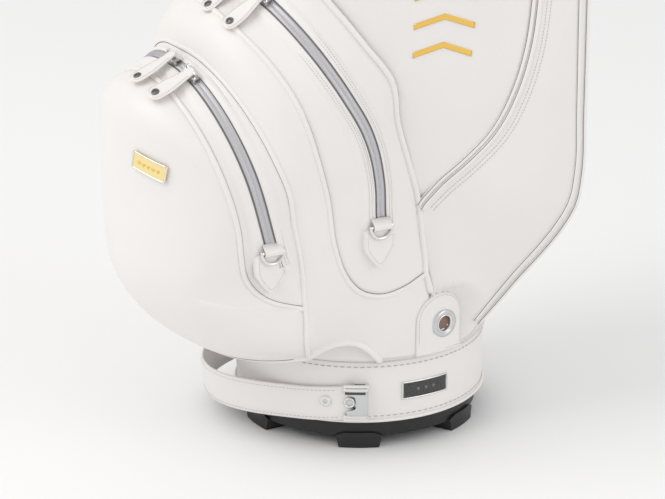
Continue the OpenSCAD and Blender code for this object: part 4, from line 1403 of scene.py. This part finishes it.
class UpperPocket:
    """The small padded pocket high on the front."""

    radius, centre_z, base_z = 84.0, 590.0, 510.0

    def outline(self) -> Array:
        """The right half of its outline: an arch, a leg and a rounded foot."""
        t = np.radians(np.linspace(0, 90, 13))
        arch = np.stack([self.radius * np.sin(t), self.centre_z + self.radius * np.cos(t)], 1)
        foot = [(84, 565), (83.5, 540), (80, 521), (70, 512), (50, 510), (25, 510), (0, 510)]
        flat = np.vstack([arch, foot])
        line = seam_curve([np.column_stack([flat[:, 0], 0 * flat[:, 0], flat[:, 1]])], [60])
        return line

    def build(self) -> None:
        """Builds the padded form, its piping and its zip.

        Spokes run from the pocket's middle to the outline on the body. The height over
        the body is (1 - share^9)^0.5 of the pocket's depth.
        """
        half = self.outline()
        edge = np.concatenate([half, mirrored(half[-2:0:-1])])
        share = 1 - np.linspace(1, 0, 22) ** 2
        x = edge[:, None, 0] * share[None]
        z = 586 + (edge[:, None, 2] - 586) * share[None]
        on = np.sqrt(BODY_SKIN**2 - x**2)
        lift = np.sqrt(np.clip(1 - share**9, 0, 1))[None]
        front = 163.0 - 0.0006 * x**2
        y = -(on * (1 - lift) + front * lift)
        grid = np.stack([x, y, z], -1)
        made = panel("upper_pocket_leather", grid, SOFT_WHITE, np.array([0, -60.0, 586.0]), 2.0,
                     wrap=True)
        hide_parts("upper_pocket")
        fine = respace(np.vstack([edge, edge[:1]]), 3.0)[:-1]
        fine[:, 1] = -np.sqrt(BODY_SKIN**2 - fine[:, 0]**2) - 1.6
        out = unit(fine * np.array([1, 1, 0]))
        cord_piece("upper_pocket_piping", fine, 4.2, PIPING, out, closed=True)
        ring = grid[:, 16]
        facing = unit(ring - np.array([0, -60.0, 586.0]))
        line = np.vstack([ring, ring[:1]]) + np.vstack([facing, facing[:1]]) * 0.3
        stitches("upper_pocket_stitches", line, np.vstack([facing, facing[:1]]), 3.2, 2.2, 0.5)
        t = np.radians(np.linspace(-90, 90, 80))
        line = np.stack([44 * np.sin(t), -163.1 + 0 * t, self.centre_z + 44 * np.cos(t)], 1)
        out = np.tile([0.0, -1.0, 0.0], (len(t), 1))
        tape = zip_ribbon("upper_zip_tape", line, out, 12.6, 0.7, ZIP_TAPE)
        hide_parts("upper_zip")
        zip_ribbon("upper_zip_coil", line, out, 8.2, 1.7, ZIP_COIL, 0.35, 2.0)
        for radius, number in ((34.5, 0), (53.5, 1)):
            seam = np.stack([radius * np.sin(t), -163.3 + 0.0006 * (radius * np.sin(t))**2 + 0 * t,
                             self.centre_z + radius * np.cos(t)], 1)
            stitches(f"upper_zip_stitches_{number}", seam, out, 2.8, 1.8, 0.45)


class Base:
    """The foot, the leather collar, the strap round it and the eyelet tab."""

    collar_r, collar_low, collar_high = 118.5, 27.3, 89.0
    tilt, tilt_bearing, tilt_z = 6.2, 60.0, 50.0

    def build(self) -> None:
        """Builds everything below the pockets."""
        self.collar()
        self.strap()
        self.strap_metal()
        self.plate_border()
        self.eyelet_tab()

    def ring(self, radius: float, z: float, turn: Array) -> Array:
        """Points of a level circle at bearings turn, in degrees."""
        a = np.radians(turn)
        return np.stack([radius * np.sin(a), -radius * np.cos(a), z + 0 * a], 1)

    def collar(self) -> None:
        """The collar: a turned band with rolled edges, crowned by 0.8 mm, and two stitch rows."""
        r, low, high = self.collar_r, self.collar_low, self.collar_high
        profile = np.vstack([
            [(r - 3, low + 4), (r - 3, low + 1), (r - 2, low + 0.1), (r - 0.6, low + 0.2),
             (r + 0.3, low + 1.4)],
            np.stack([r + 0.1 + 0.7 * np.sin(np.linspace(0.1, np.pi - 0.1, 16)),
                      np.linspace(low + 3, high - 3, 16)], 1),
            [(r + 0.2, high - 1.3), (r - 0.7, high - 0.2), (r - 2, high), (r - 3, high - 1),
             (r - 3, high - 4)]])
        made = turned("collar_leather", profile, np.zeros(3), np.array([0, 0, 1.0]),
                      np.array([0, 1.0, 0]), WHITE, sides=160)
        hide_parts("collar_band")
        turn = np.linspace(0, 360, 361)
        for z, label in ((low + 6.5, "low"), (high - 6.0, "high")):
            line = self.ring(r + 0.62, z, turn)
            out = unit(line * np.array([1, 1, 0]))
            stitches(f"collar_stitches_{label}", line, out, 6.2, 4.2, 0.75)
        line = self.ring(r + 0.9, low + 2.0, turn[:-1])
        cord_piece("collar_foot_piping", line, 3.2, PIPING, unit(line * np.array([1, 1, 0])),
                   closed=True, sides=10)

    def strap_path(self, turn: Array, extra: float, rise: float) -> Array:
        """The strap's line: round the collar, swinging out by 29 mm, leaned about one side.

        Args:
            turn: Bearings in degrees.
            extra: Distance outward of the strap's inner face.
            rise: Height over the strap's middle.

        Returns:
            The points.
        """
        swing = np.where(np.abs(turn + 30) < 62,
                         29 * np.cos(np.radians(180 * (turn + 30) / 124)) ** 2, 0)
        flat = self.ring(1.0, 0.0, turn) * (121.1 + swing + extra)[:, None]
        flat[:, 2] = rise
        axis = np.array([math.sin(math.radians(self.tilt_bearing)),
                         -math.cos(math.radians(self.tilt_bearing)), 0])
        a = math.radians(self.tilt)
        leaned = (flat * math.cos(a) + np.cross(axis, flat) * math.sin(a)
                  + np.outer(flat @ axis, axis) * (1 - math.cos(a)))
        return leaned + np.array([0, 0, self.tilt_z])

    def strap(self) -> None:
        """The strap: a flat rounded outline carried along its line, stitched at both edges."""
        turn = np.linspace(-104, 57, 150)
        rim = np.array([(-17, 0.9), (-16.6, 2.2), (-15.6, 2.7), (-8, 2.9), (0, 2.95), (8, 2.9),
                        (15.6, 2.7), (16.6, 2.2), (17, 0.9), (16.4, 0.2), (15, 0), (0, 0),
                        (-15, 0), (-16.4, 0.2)])
        rings = np.stack([self.strap_path(turn, out, rise) for rise, out in rim], 1)
        ends = np.stack([rings[0].mean(0), rings[-1].mean(0)])
        rings = np.concatenate([ends[:1, None].repeat(len(rim), 1), rings,
                                ends[1:, None].repeat(len(rim), 1)])
        made = piece("base_strap_leather", rings, ring_faces(len(rings), len(rim)), WHITE)
        fix_normals(made)
        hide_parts("base_strap")
        for rise, label in ((13.6, "top"), (-13.6, "bottom")):
            line = self.strap_path(turn[2:-6], 2.8 + 0 * turn[2:-6], rise)
            inner = self.strap_path(turn[2:-6], 0 * turn[2:-6], rise)
            stitches(f"base_strap_stitches_{label}", line, unit(line - inner), 4.2, 2.9, 0.5)

    def strap_metal(self) -> None:
        """Rolled edges over the two eyelets, and the clasp's lip and hinge bar."""
        for number, (turn, out) in enumerate(((-97.0, 124.2), (45.5, 124.2), (56.0, 124.9))):
            axis = self.ring(1.0, 0.0, np.array([turn]))[0]
            centre = axis * out + np.array([0, 0, 50.0])
            ring = np.array([(3.3, 0.5), (3.5, 1.3), (4.1, 1.7), (4.9, 1.5), (5.5, 0.7),
                             (5.6, -0.6)])
            turned(f"strap_eyelet_{number}", ring, centre, axis, np.array([0, 0, 1.0]), CHROME,
                   sides=36)
            dish = np.array([(0.01, 1.3), (1.6, 1.15), (3.0, 0.7), (3.5, 0.4), (3.6, -0.5)])
            turned(f"strap_eyelet_{number}_cap", dish, centre, axis, np.array([0, 0, 1.0]),
                   BRUSHED, sides=28)
        z = np.linspace(35.2, 64.8, 60)
        left = 58.6 - 3.9 * step(np.abs(z - 50), 5.2, 9.5)
        turn = left[:, None] + (63.9 - left)[:, None] * np.linspace(0, 1, 9)[None]
        plate = self.ring(127.9, 0.0, turn.ravel()).reshape(turn.shape + (3,))
        plate[..., 2] = z[:, None]
        panel("clasp_plate", plate, BRUSHED, np.zeros(3), 1.3)
        a = np.linspace(54.2, 63.6, 24)
        for number, (z, width) in enumerate(((63.5, 3.4), (36.5, 3.4))):
            line = self.ring(128.0, z, a)
            cord_piece(f"clasp_bar_{number}", line, width, CHROME,
                       unit(line * np.array([1, 1, 0])), 1.8, sides=10, square=0.7)
        # Painted shade: a dark enamel cord stands for the shaded slot below the hinge bar.
        line = self.ring(127.8, 60.2, a[:-2])
        cord_piece("clasp_slot_shade", line, 2.6, ENAMEL, unit(line * np.array([1, 1, 0])), 0.9,
                   sides=8, square=0.6)

    def plate_border(self) -> None:
        """A bright border round the dark plate on the collar, and a plain row of diamonds."""
        a0, a1, z0, z1 = 79.6, 103.4, 49.0, 65.0
        n = 30
        loop = np.vstack([self.ring(119.9, z0, np.linspace(a0, a1, n)),
                          np.stack([np.interp(np.linspace(0, 1, 12)[1:-1], [0, 1], [p, q])
                                    for p, q in zip(self.ring(119.9, z0, np.array([a1]))[0],
                                                    self.ring(119.9, z1, np.array([a1]))[0])], 1),
                          self.ring(119.9, z1, np.linspace(a1, a0, n)),
                          np.stack([np.interp(np.linspace(0, 1, 12)[1:-1], [0, 1], [p, q])
                                    for p, q in zip(self.ring(119.9, z1, np.array([a0]))[0],
                                                    self.ring(119.9, z0, np.array([a0]))[0])], 1)])
        cord_piece("collar_plate_border", loop, 1.5, CHROME, unit(loop * np.array([1, 1, 0])),
                   1.1, closed=True, sides=8, square=0.7)
        for number, turn in enumerate((87.5, 91.5, 95.5)):
            axis = self.ring(1.0, 0.0, np.array([turn]))[0]
            stud = np.array([(0.01, 0.75), (1.2, 0.6), (2.1, 0.1), (2.2, -0.5)])
            turned(f"collar_plate_stud_{number}", stud, axis * 120.2 + np.array([0, 0, 57.0]),
                   axis, np.array([0, 0, 1.0]), DARK_STEEL, sides=4)

    def eyelet_tab(self) -> None:
        """The round-topped tab with its big eyelet, laid over the pockets' lower corners.

        The tab's outline is a half circle on a square foot, wrapped on a cylinder; the
        leather swells by 2.6 mm in a ring round the eyelet.
        """
        turn = np.linspace(0, 2 * np.pi, 96, endpoint=False)
        c, s = np.cos(turn), np.sin(turn)
        down = np.minimum(TAB_HALF / np.maximum(np.abs(c), 1e-3), 33.5 / np.maximum(-s, 1e-3))
        reach = np.where(s >= 0, TAB_HALF, down)
        share = np.array([0.0, 0.18, 0.3, 0.42, 0.55, 0.7, 0.82, 0.9, 0.95, 0.985, 1.0, 1.0])
        swell = np.array([3.4, 3.4, 4.0, 5.0, 5.3, 4.9, 4.5, 4.4, 4.2, 3.6, 2.6, -0.5])
        flat_x = share[:, None] * (reach * c)[None]
        flat_z = TAB_Z + share[:, None] * (reach * s)[None]
        hole = np.hypot(flat_x - 3.6, flat_z - EYELET_Z)
        radius = 121.3 + swell[:, None] - 3.6 * (1 - step(hole, 7.2, 9.4))
        a = np.radians(TAB_TURN) + flat_x / 122.0
        grid = np.stack([radius * np.sin(a), -radius * np.cos(a), flat_z], -1)
        made = piece("grommet_tab_leather", grid, ring_faces(len(share), len(turn)), WHITE)
        fix_normals(made)
        if self.faces_in(made):
            made.data.flip_normals()
        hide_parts("grommet_tab")
        keep = np.roll(np.arange(96), -74)[:82]
        line = grid[7][keep]
        stitches("grommet_tab_stitches", line, unit(line * np.array([1, 1, 0])), 3.0, 2.0, 0.5)
        eyelet_turn = math.radians(EYELET_TURN)
        axis = np.array([math.sin(eyelet_turn), -math.cos(eyelet_turn), 0])
        centre = axis * 125.2 + np.array([0, 0, EYELET_Z])
        ring = np.array([(8.2, -2), (8.4, 0.9), (9.4, 2.0), (11.2, 2.3), (13.0, 1.7), (14.0, 0.4),
                         (14.2, -1.5)])
        made = turned("grommet_steel_rim", ring, centre, axis, np.array([0, 0, 1.0]), BRUSHED,
                      sides=56)
        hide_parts("grommet_ring")
        steel = np.array([(6.9, -3.2), (7.0, 0.4), (7.5, 1.6), (8.3, 2.1), (9.1, 1.7), (9.4, 0)])
        turned("grommet_steel_ring", steel, centre, axis, np.array([0, 0, 1.0]), CHROME, sides=56)
        # A dish just inside the eyelet: brown lining with the hole's shade painted in.
        dish = np.array([(0.01, -2.4), (4.0, -2.4), (7.2, -2.2), (7.3, -3.4)])
        turned("grommet_lining_and_shade", dish, centre, axis, np.array([0, 0, 1.0]), EYELET_HOLE, sides=40)

    @staticmethod
    def faces_in(made: bpy.types.Object) -> bool:
        """Whether most of an open piece looks toward the bag's axis."""
        mesh = made.data
        normals, middles = np.empty(len(mesh.polygons) * 3), np.empty(len(mesh.polygons) * 3)
        mesh.polygons.foreach_get("normal", normals)
        mesh.polygons.foreach_get("center", middles)
        flat = middles.reshape(-1, 3) * np.array([1, 1, 0])
        return bool(np.sum(normals.reshape(-1, 3) * flat) < 0)


class Rim:
    """The padded cuff under the top moulding."""

    def build(self) -> None:
        """Builds the cuff in two padded rolls with stitches between them."""
        low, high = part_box("cuff_band")
        z0, z1, r = low[2] / MM, high[2] / MM, 129.0
        mid = (z0 + z1) / 2
        t = np.linspace(0.02, np.pi - 0.02, 14)
        roll = [np.stack([r - 3.4 + 3.4 * np.sin(t), a + (b - a) * (t / np.pi)], 1)
                for a, b in ((z0, mid), (mid, z1))]
        profile = np.vstack([[(122.4, z0)], roll[0], roll[1], [(122.4, z1)]])
        made = turned("cuff_leather", profile, np.zeros(3), np.array([0, 0, 1.0]),
                      np.array([0, 1.0, 0]), SOFT_WHITE, sides=140)
        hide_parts("cuff_band")
        turn = np.radians(np.linspace(0, 360, 361))
        for z, radius, label in ((mid, r - 3.0, "middle"), (z0 + 5, r - 1.1, "low"),
                                 (z1 - 5, r - 1.1, "high")):
            line = np.stack([radius * np.sin(turn), -radius * np.cos(turn), z + 0 * turn], 1)
            stitches(f"cuff_stitches_{label}", line, unit(line * np.array([1, 1, 0])), 4.0, 2.8,
                     0.6)


class Carry:
    """The shoulder strap with its pad, the carry handle, and the loops on the body."""

    def __init__(self) -> None:
        """Takes the strap's bow from the frame: its ends and how far it stands out."""
        low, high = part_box("shoulder_strap")
        self.low_z, self.high_z = low[2] / MM + 9.4, high[2] / MM - 9.4
        self.mid = (self.low_z + self.high_z) / 2
        half = (self.high_z - self.low_z) / 2
        out = high[1] / MM - 1.6
        sag = out - 148.0
        self.bow = (half**2 + sag**2) / (2 * sag)
        self.centre_y = out - self.bow
        self.half_turn = math.degrees(math.asin(half / self.bow))

    def arc(self, radius: float, turn: Array, x: float = 0.0) -> Array:
        """Points of the strap's bow at angles from its middle."""
        a = np.radians(turn)
        return np.stack([x + 0 * a, self.centre_y + radius * np.cos(a),
                         self.mid + radius * np.sin(a)], 1)

    def build(self) -> None:
        """Builds the strap, its pad and the handle."""
        self.strap()
        self.pad()
        self.handle()
        self.umbrella()

    def strap(self) -> None:
        """The strap: a flat outline carried along the bow, with two rows of stitches."""
        turn = np.linspace(-self.half_turn, self.half_turn, 90)
        path = self.arc(self.bow, turn)
        out = unit(path - np.array([0, self.centre_y, self.mid]))
        points, faces = swept(path, round_outline(38, 3.2, 16, 0.35), out)
        made = piece("shoulder_strap_leather", points, faces, WHITE, "strap")
        fix_normals(made)
        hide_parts("shoulder_strap")
        for side in (-1, 1):
            line = self.arc(self.bow + 1.65, turn[2:-2], side * 15.5)
            stitches(f"strap_stitches_{'r' if side > 0 else 'l'}", line, out[2:-2], 3.6, 2.4, 0.55,
                     body="strap")
        for z, label in ((self.low_z, "low"), (self.high_z, "high")):
            profile = np.array([(3.2, -9.4), (5.6, -9.4), (6.4, -8.6), (6.4, 8.6), (5.6, 9.4),
                                (3.2, 9.4), (3.2, -9.4)])
            turned(f"strap_end_{label}", profile, np.array([0, 142.0, z]), np.array([0, 0, 1.0]),
                   np.array([0, 1.0, 0]), PULL, "strap", 32)

    def pad(self) -> None:
        """The shoulder pad: a crowned closed form blown up as cloth, then seamed.

        The start is a box on the bow, 54 wide and 7 thick, smaller than the pad.
        """
        low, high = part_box("strap_pad")
        half = math.degrees(math.asin((high[2] - low[2]) / MM / 2 / self.bow))
        turn = np.linspace(-half + 1.2, half - 1.2, 60)
        path = self.arc(self.bow + 7.6, turn)
        out = unit(path - np.array([0, self.centre_y, self.mid]))
        scale = np.clip(np.sqrt(1 - (np.abs(np.linspace(-1, 1, 60)) ** 8)), 0.3, 1)
        points, faces = swept(path, round_outline(55, 6.5, 28, 0.4), out, scale=scale)
        made = piece("strap_pad_leather", points, faces, SOFT_WHITE, "strap")
        fix_normals(made)
        inflate(made, 3.0)
        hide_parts("strap_pad")
        for side in (-1, 1):
            line = self.arc(self.bow + 12.4, turn[4:-4], side * 21.0)
            stitches(f"pad_stitches_{'r' if side > 0 else 'l'}", line, out[4:-4], 3.4, 2.4, 0.6,
                     body="strap")

    def handle(self) -> None:
        """The carry handle: a padded roll on the CAD handle's bow, thin where it is sewn down."""
        z = np.linspace(-1, 1, 60)
        angle = math.asin(93.0 / 174.5) * z
        path = np.stack([0 * angle, -25.4 + 174.5 * np.cos(angle), 470 + 174.5 * np.sin(angle)], 1)
        out = unit(path - np.array([0, -25.4, 470.0]))
        thick = 5.5 + 3.5 * (1 - np.abs(z) ** 3)
        wide = 25 + 0 * z
        t = np.linspace(0, 2 * np.pi, 20, endpoint=False)
        c, s = np.cos(t), np.sin(t)
        x = np.sign(c) * np.abs(c) ** 0.7 * wide[:, None] / 2
        h = np.sign(s) * np.abs(s) ** 0.9 * thick[:, None] / 2
        rings = path[:, None] + x[..., None] * np.array([1.0, 0, 0]) + h[..., None] * out[:, None]
        rings = np.concatenate([path[:1, None].repeat(20, 1), rings,
                                path[-1:, None].repeat(20, 1)])
        made = piece("carry_handle_leather", rings, ring_faces(62, 20), SOFT_WHITE)
        fix_normals(made)
        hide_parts("carry_handle")
        for side in (-1, 1):
            line = path[3:-3] + np.array([side * 9.0, 0, 0]) + out[3:-3] * (
                thick[3:-3, None] / 2 * 0.84)
            stitches(f"handle_stitches_{'r' if side > 0 else 'l'}", line, out[3:-3], 3.2, 2.2, 0.5)

    def umbrella(self) -> None:
        """The umbrella loop: a leather ring with rolled edges and two rows of stitches."""
        a = math.radians(66)
        centre = np.array([142.3 * math.sin(a), -142.3 * math.cos(a), 0])
        profile = np.array([(20.6, 751), (21.4, 750.2), (22.4, 750.4), (22.9, 752), (23.0, 763),
                            (22.9, 774), (22.4, 775.6), (21.4, 775.8), (20.6, 775), (20.5, 763),
                            (20.6, 751)])
        made = turned("umbrella_loop_leather", profile, centre, np.array([0, 0, 1.0]),
                      np.array([0, 1.0, 0]), PULL, sides=72)
        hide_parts("umbrella_loop")
        t = np.linspace(0, 2 * np.pi, 91)
        for z in (754, 772):
            line = centre + np.stack([23.0 * np.cos(t), 23.0 * np.sin(t), z + 0 * t], 1)
            stitches(f"umbrella_stitches_{z}", line, unit((line - centre) * np.array([1, 1, 0])),
                     3.0, 2.0, 0.5)


def inflate(made: bpy.types.Object, cap: float) -> None:
    """Blows a closed piece up as cloth and applies the result.

    The piece is remeshed evenly, stepped through 20 frames of cloth under pressure
    with no gravity, and no point moves further than cap from where it began.

    Args:
        made: The closed piece.
        cap: The most that a point may move, in millimetres.
    """
    scene = bpy.context.scene
    bpy.context.view_layer.objects.active = made
    remesh = made.modifiers.new("even", "REMESH")
    remesh.mode, remesh.voxel_size = "VOXEL", 4.0 * MM
    bpy.ops.object.modifier_apply(modifier=remesh.name)
    start = read_points(made.data)
    cloth = made.modifiers.new("cloth", "CLOTH")
    cloth.settings.use_pressure = True
    cloth.settings.uniform_pressure_force = 4.0
    cloth.settings.effector_weights.gravity = 0.0
    cloth.point_cache.frame_start, cloth.point_cache.frame_end = 1, 20
    for number in range(1, 21):
        scene.frame_set(number)
    bpy.ops.object.modifier_apply(modifier=cloth.name)
    scene.frame_set(1)
    moved = read_points(made.data) - start
    far = np.linalg.norm(moved, axis=1, keepdims=True)
    held = start + moved * np.minimum(1, cap * MM / np.maximum(far, 1e-9))
    made.data.vertices.foreach_set("co", held.ravel())
    made.data.polygons.foreach_set("use_smooth", np.ones(len(made.data.polygons), bool))
    made.data.update()
    smooth = made.modifiers.new("smooth", "SUBSURF")
    smooth.levels = smooth.render_levels = 1


def read_points(mesh: bpy.types.Mesh) -> Array:
    """A mesh's points as an array."""
    flat = np.empty(len(mesh.vertices) * 3)
    mesh.vertices.foreach_get("co", flat)
    return flat.reshape(-1, 3)


class Hardware:
    """Zip pulls, ring tabs, the badge and every CAD node that is shown as it is."""

    kept = {
        "foot_moulding": MOULDING, "base_pan": MOULDING, "top_moulding": MOULDING,
        "lift_handle": MOULDING, "body_liner": LINER, "divider_panels": DIVIDER,
        "collar_plate": ENAMEL, "strap_clasp": CHROME, "strap_eyelets": CHROME,
        "strap_anchors": CHROME, "towel_ring": CHROME, "towel_tab": PULL,
        "ball_ring_r": CHROME, "ball_ring_l": CHROME, "cooler_ring_r": CHROME,
        "cooler_ring_l": CHROME, "ball_slider_r": CHROME, "ball_slider_l": CHROME,
        "cooler_slider_r": CHROME, "cooler_slider_l": CHROME, "side_slider_r": CHROME,
        "side_slider_l": CHROME, "upper_slider": CHROME, "badge_plate": PALE_GOLD,
    }
    pin_height = 8.4

    def build(self) -> None:
        """Dresses the kept nodes, then builds the pulls, tabs and badge trim."""
        for node, finish in self.kept.items():
            DRESS.dress_node(node, finish)
        self.arch_pulls("ball", BALL, 114.0, (22.0, 6.0), 10.0)
        self.arch_pulls("cooler", COOL, 136.0, (24.0, 10.0), 8.0)
        self.side_pulls()
        self.upper_pull()
        for side, label in ((1, "r"), (-1, "l")):
            RingTab(f"ball_tab_{label}", (114.3, -157, 218), side).build()
            RingTab(f"cooler_tab_{label}", (136.3, -58, 232), side).build()
        self.badge()

    def arch_pulls(self, name: str, plane: Plane, radius: float, rest: tuple[float, float],
                   drop: float) -> None:
        """The two pulls of an arch zip, each turned to its slider and dropped forward."""
        lean = turn_x(90 + plane.tilt)
        for angle, label in ((rest[0], "r"), (rest[1], "l")):
            spin = turn_z(-angle)
            origin = np.array(plane.centre) + lean @ spin @ np.array(
                [0, radius + self.pin_height, 0])
            node = f"{name}_pull_{label}"
            Pull(node, node, Spot(lean @ spin @ turn_x(drop), origin)).build()

    def side_pulls(self) -> None:
        """The hanging pulls of the two side zips."""
        for side, label in ((1, "r"), (-1, "l")):
            node = f"side_pull_{label}"
            low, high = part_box(node)
            top = high[2] / MM - 2.3
            turn = np.array([[side, 0, 0], [0, 1.0, 0], [0, 0, -1.0]])
            origin = np.array([(low[0] + high[0]) / 2 / MM, low[1] / MM + 2.3, top])
            Pull(node, node, Spot(turn, origin), thick=2.6).build()

    def upper_pull(self) -> None:
        """The upper pocket's pull, turning on its stud."""
        low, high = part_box("upper_pull")
        turn = np.array([[1.0, 0, 0], [0, -1.0, 0], [0, 0, -1.0]])
        origin = np.array([0, (low[1] + high[1]) / 2 / MM, high[2] / MM - 2.0])
        Pull("upper_pull", "upper_pull", Spot(turn, origin), thick=2.4).build()

    @staticmethod
    def badge() -> None:
        """A raised bright border round the badge and a plain row of studs on it."""
        turn, lean = math.radians(24.0), math.radians(13.0)
        half, high = 19.2, 7.6
        n = 16
        flat = np.vstack([
            np.stack([np.linspace(-half, half, n), np.full(n, -high)], 1),
            np.stack([np.full(6, half), np.linspace(-high, high, 8)[1:-1]], 1),
            np.stack([np.linspace(half, -half, n), np.full(n, high)], 1),
            np.stack([np.full(6, -half), np.linspace(high, -high, 8)[1:-1]], 1)])

        def on_front(spots: Array, radius: float) -> Array:
            """Badge points wrapped on the pocket's front circle."""
            x = spots[:, 0] * math.cos(lean) + spots[:, 1] * math.sin(lean)
            z = -spots[:, 0] * math.sin(lean) + spots[:, 1] * math.cos(lean)
            a = turn + x / 129.0
            return np.stack([radius * np.sin(a), -128 - radius * np.cos(a), 293 + z], 1)
        loop = on_front(flat, 129.9)
        centre = np.array([0, -128.0, 0])
        cord_piece("badge_border", loop, 1.4, CHROME, unit((loop - centre) * np.array([1, 1, 0])),
                   1.0, closed=True, sides=8, square=0.7)
        spots = np.array([(x, 0.0) for x in (-11.0, -5.5, 0.0, 5.5, 11.0)])
        for number, spot in enumerate(on_front(spots, 129.8)):
            axis = unit((spot - centre) * np.array([1, 1, 0]))
            stud = np.array([(0.01, 0.8), (1.3, 0.6), (2.2, 0.1), (2.3, -0.5)])
            turned(f"badge_stud_{number}", stud, spot, axis, np.array([0, 0, 1.0]), GOLD, sides=4)


class Studio:
    """The camera, the pale floor and the soft lights."""

    distance, target_z = 2.700, 0.057
    from_azimuth, from_elevation = 60.0, 21.476
    look_azimuth, look_dip = 60.589, 19.481
    lens, sensor = 150.674, 36.0

    def build(self) -> None:
        """Makes the camera, lights and floor."""
        self.camera()
        self.lights()
        self.floor()
        bpy.context.scene.view_settings.view_transform = "Standard"

    def camera(self) -> None:
        """A long lens from the front right, above the bag's foot."""
        a, e = math.radians(self.from_azimuth), math.radians(self.from_elevation)
        data = bpy.data.cameras.new("camera")
        data.lens, data.sensor_width = self.lens, self.sensor
        data.clip_end = 30
        made = bpy.data.objects.new("camera", data)
        made.location = (self.distance * math.sin(a) * math.cos(e),
                         -self.distance * math.cos(a) * math.cos(e),
                         self.target_z + self.distance * math.sin(e))
        made.rotation_euler = (math.radians(90 - self.look_dip), 0,
                               math.radians(self.look_azimuth))
        bpy.context.collection.objects.link(made)
        bpy.context.scene.camera = made

    @staticmethod
    def area(name: str, place: tuple[float, float, float], aim: tuple[float, float, float],
             size: float, power: float, colour: tuple[float, float, float]) -> None:
        """One square soft light that looks at a point."""
        data = bpy.data.lights.new(name, "AREA")
        data.size, data.energy, data.color = size, power, colour
        made = bpy.data.objects.new(name, data)
        made.location = place
        away = np.array(aim) - np.array(place)
        flat = math.hypot(away[0], away[1])
        made.rotation_euler = (math.atan2(flat, -away[2]), 0, math.atan2(-away[0], away[1]))
        bpy.context.collection.objects.link(made)

    def lights(self) -> None:
        """A broad key from the upper front left, a cool fill from the right and a pale sky."""
        self.area("key", (-0.4, -2.6, 2.6), (0, -0.1, 0.3), 2.4, 42.0, (1.0, 0.98, 0.955))
        self.area("fill", (2.6, 1.4, 1.6), (0, 0, 0.35), 1.8, 14.0, (0.98, 0.99, 1.0))
        world = bpy.data.worlds.new("studio")
        world.use_nodes = True
        shade = world.node_tree.nodes["Background"]
        shade.inputs["Color"].default_value = (0.93, 0.93, 0.93, 1)
        shade.inputs["Strength"].default_value = 0.88
        bpy.context.scene.world = world

    @staticmethod
    def floor() -> None:
        """A wide pale floor just under the lugs."""
        n = np.linspace(-6000, 6000, 9)
        x, y = np.meshgrid(n, n)
        grid = np.stack([x, y, np.full_like(x, -0.3)], -1)
        mesh = bpy.data.meshes.new("floor")
        mesh.from_pydata((grid.reshape(-1, 3) * MM).tolist(), [], grid_faces(9, 9).tolist())
        made = bpy.data.objects.new("floor", mesh)
        surface = bpy.data.materials.new("pale_floor")
        surface.use_nodes = True
        shader = surface.node_tree.nodes["Principled BSDF"]
        shader.inputs["Base Color"].default_value = (0.90, 0.90, 0.90, 1)
        shader.inputs["Roughness"].default_value = 0.9
        mesh.materials.append(surface)
        bpy.context.collection.objects.link(made)


def main() -> None:
    """Builds the studio, then the bag from its foot to its rim."""
    logging.basicConfig(level=logging.INFO, format="%(name)s %(message)s")
    Studio().build()
    Base().build()
    BallPocket().build()
    CoolerPocket().build()
    Body().build()
    SidePocket().build(1)
    SidePocket().build(-1)
    UpperPocket().build()
    Rim().build()
    Carry().build()
    Hardware().build()


if __name__ == "__main__":
    main()
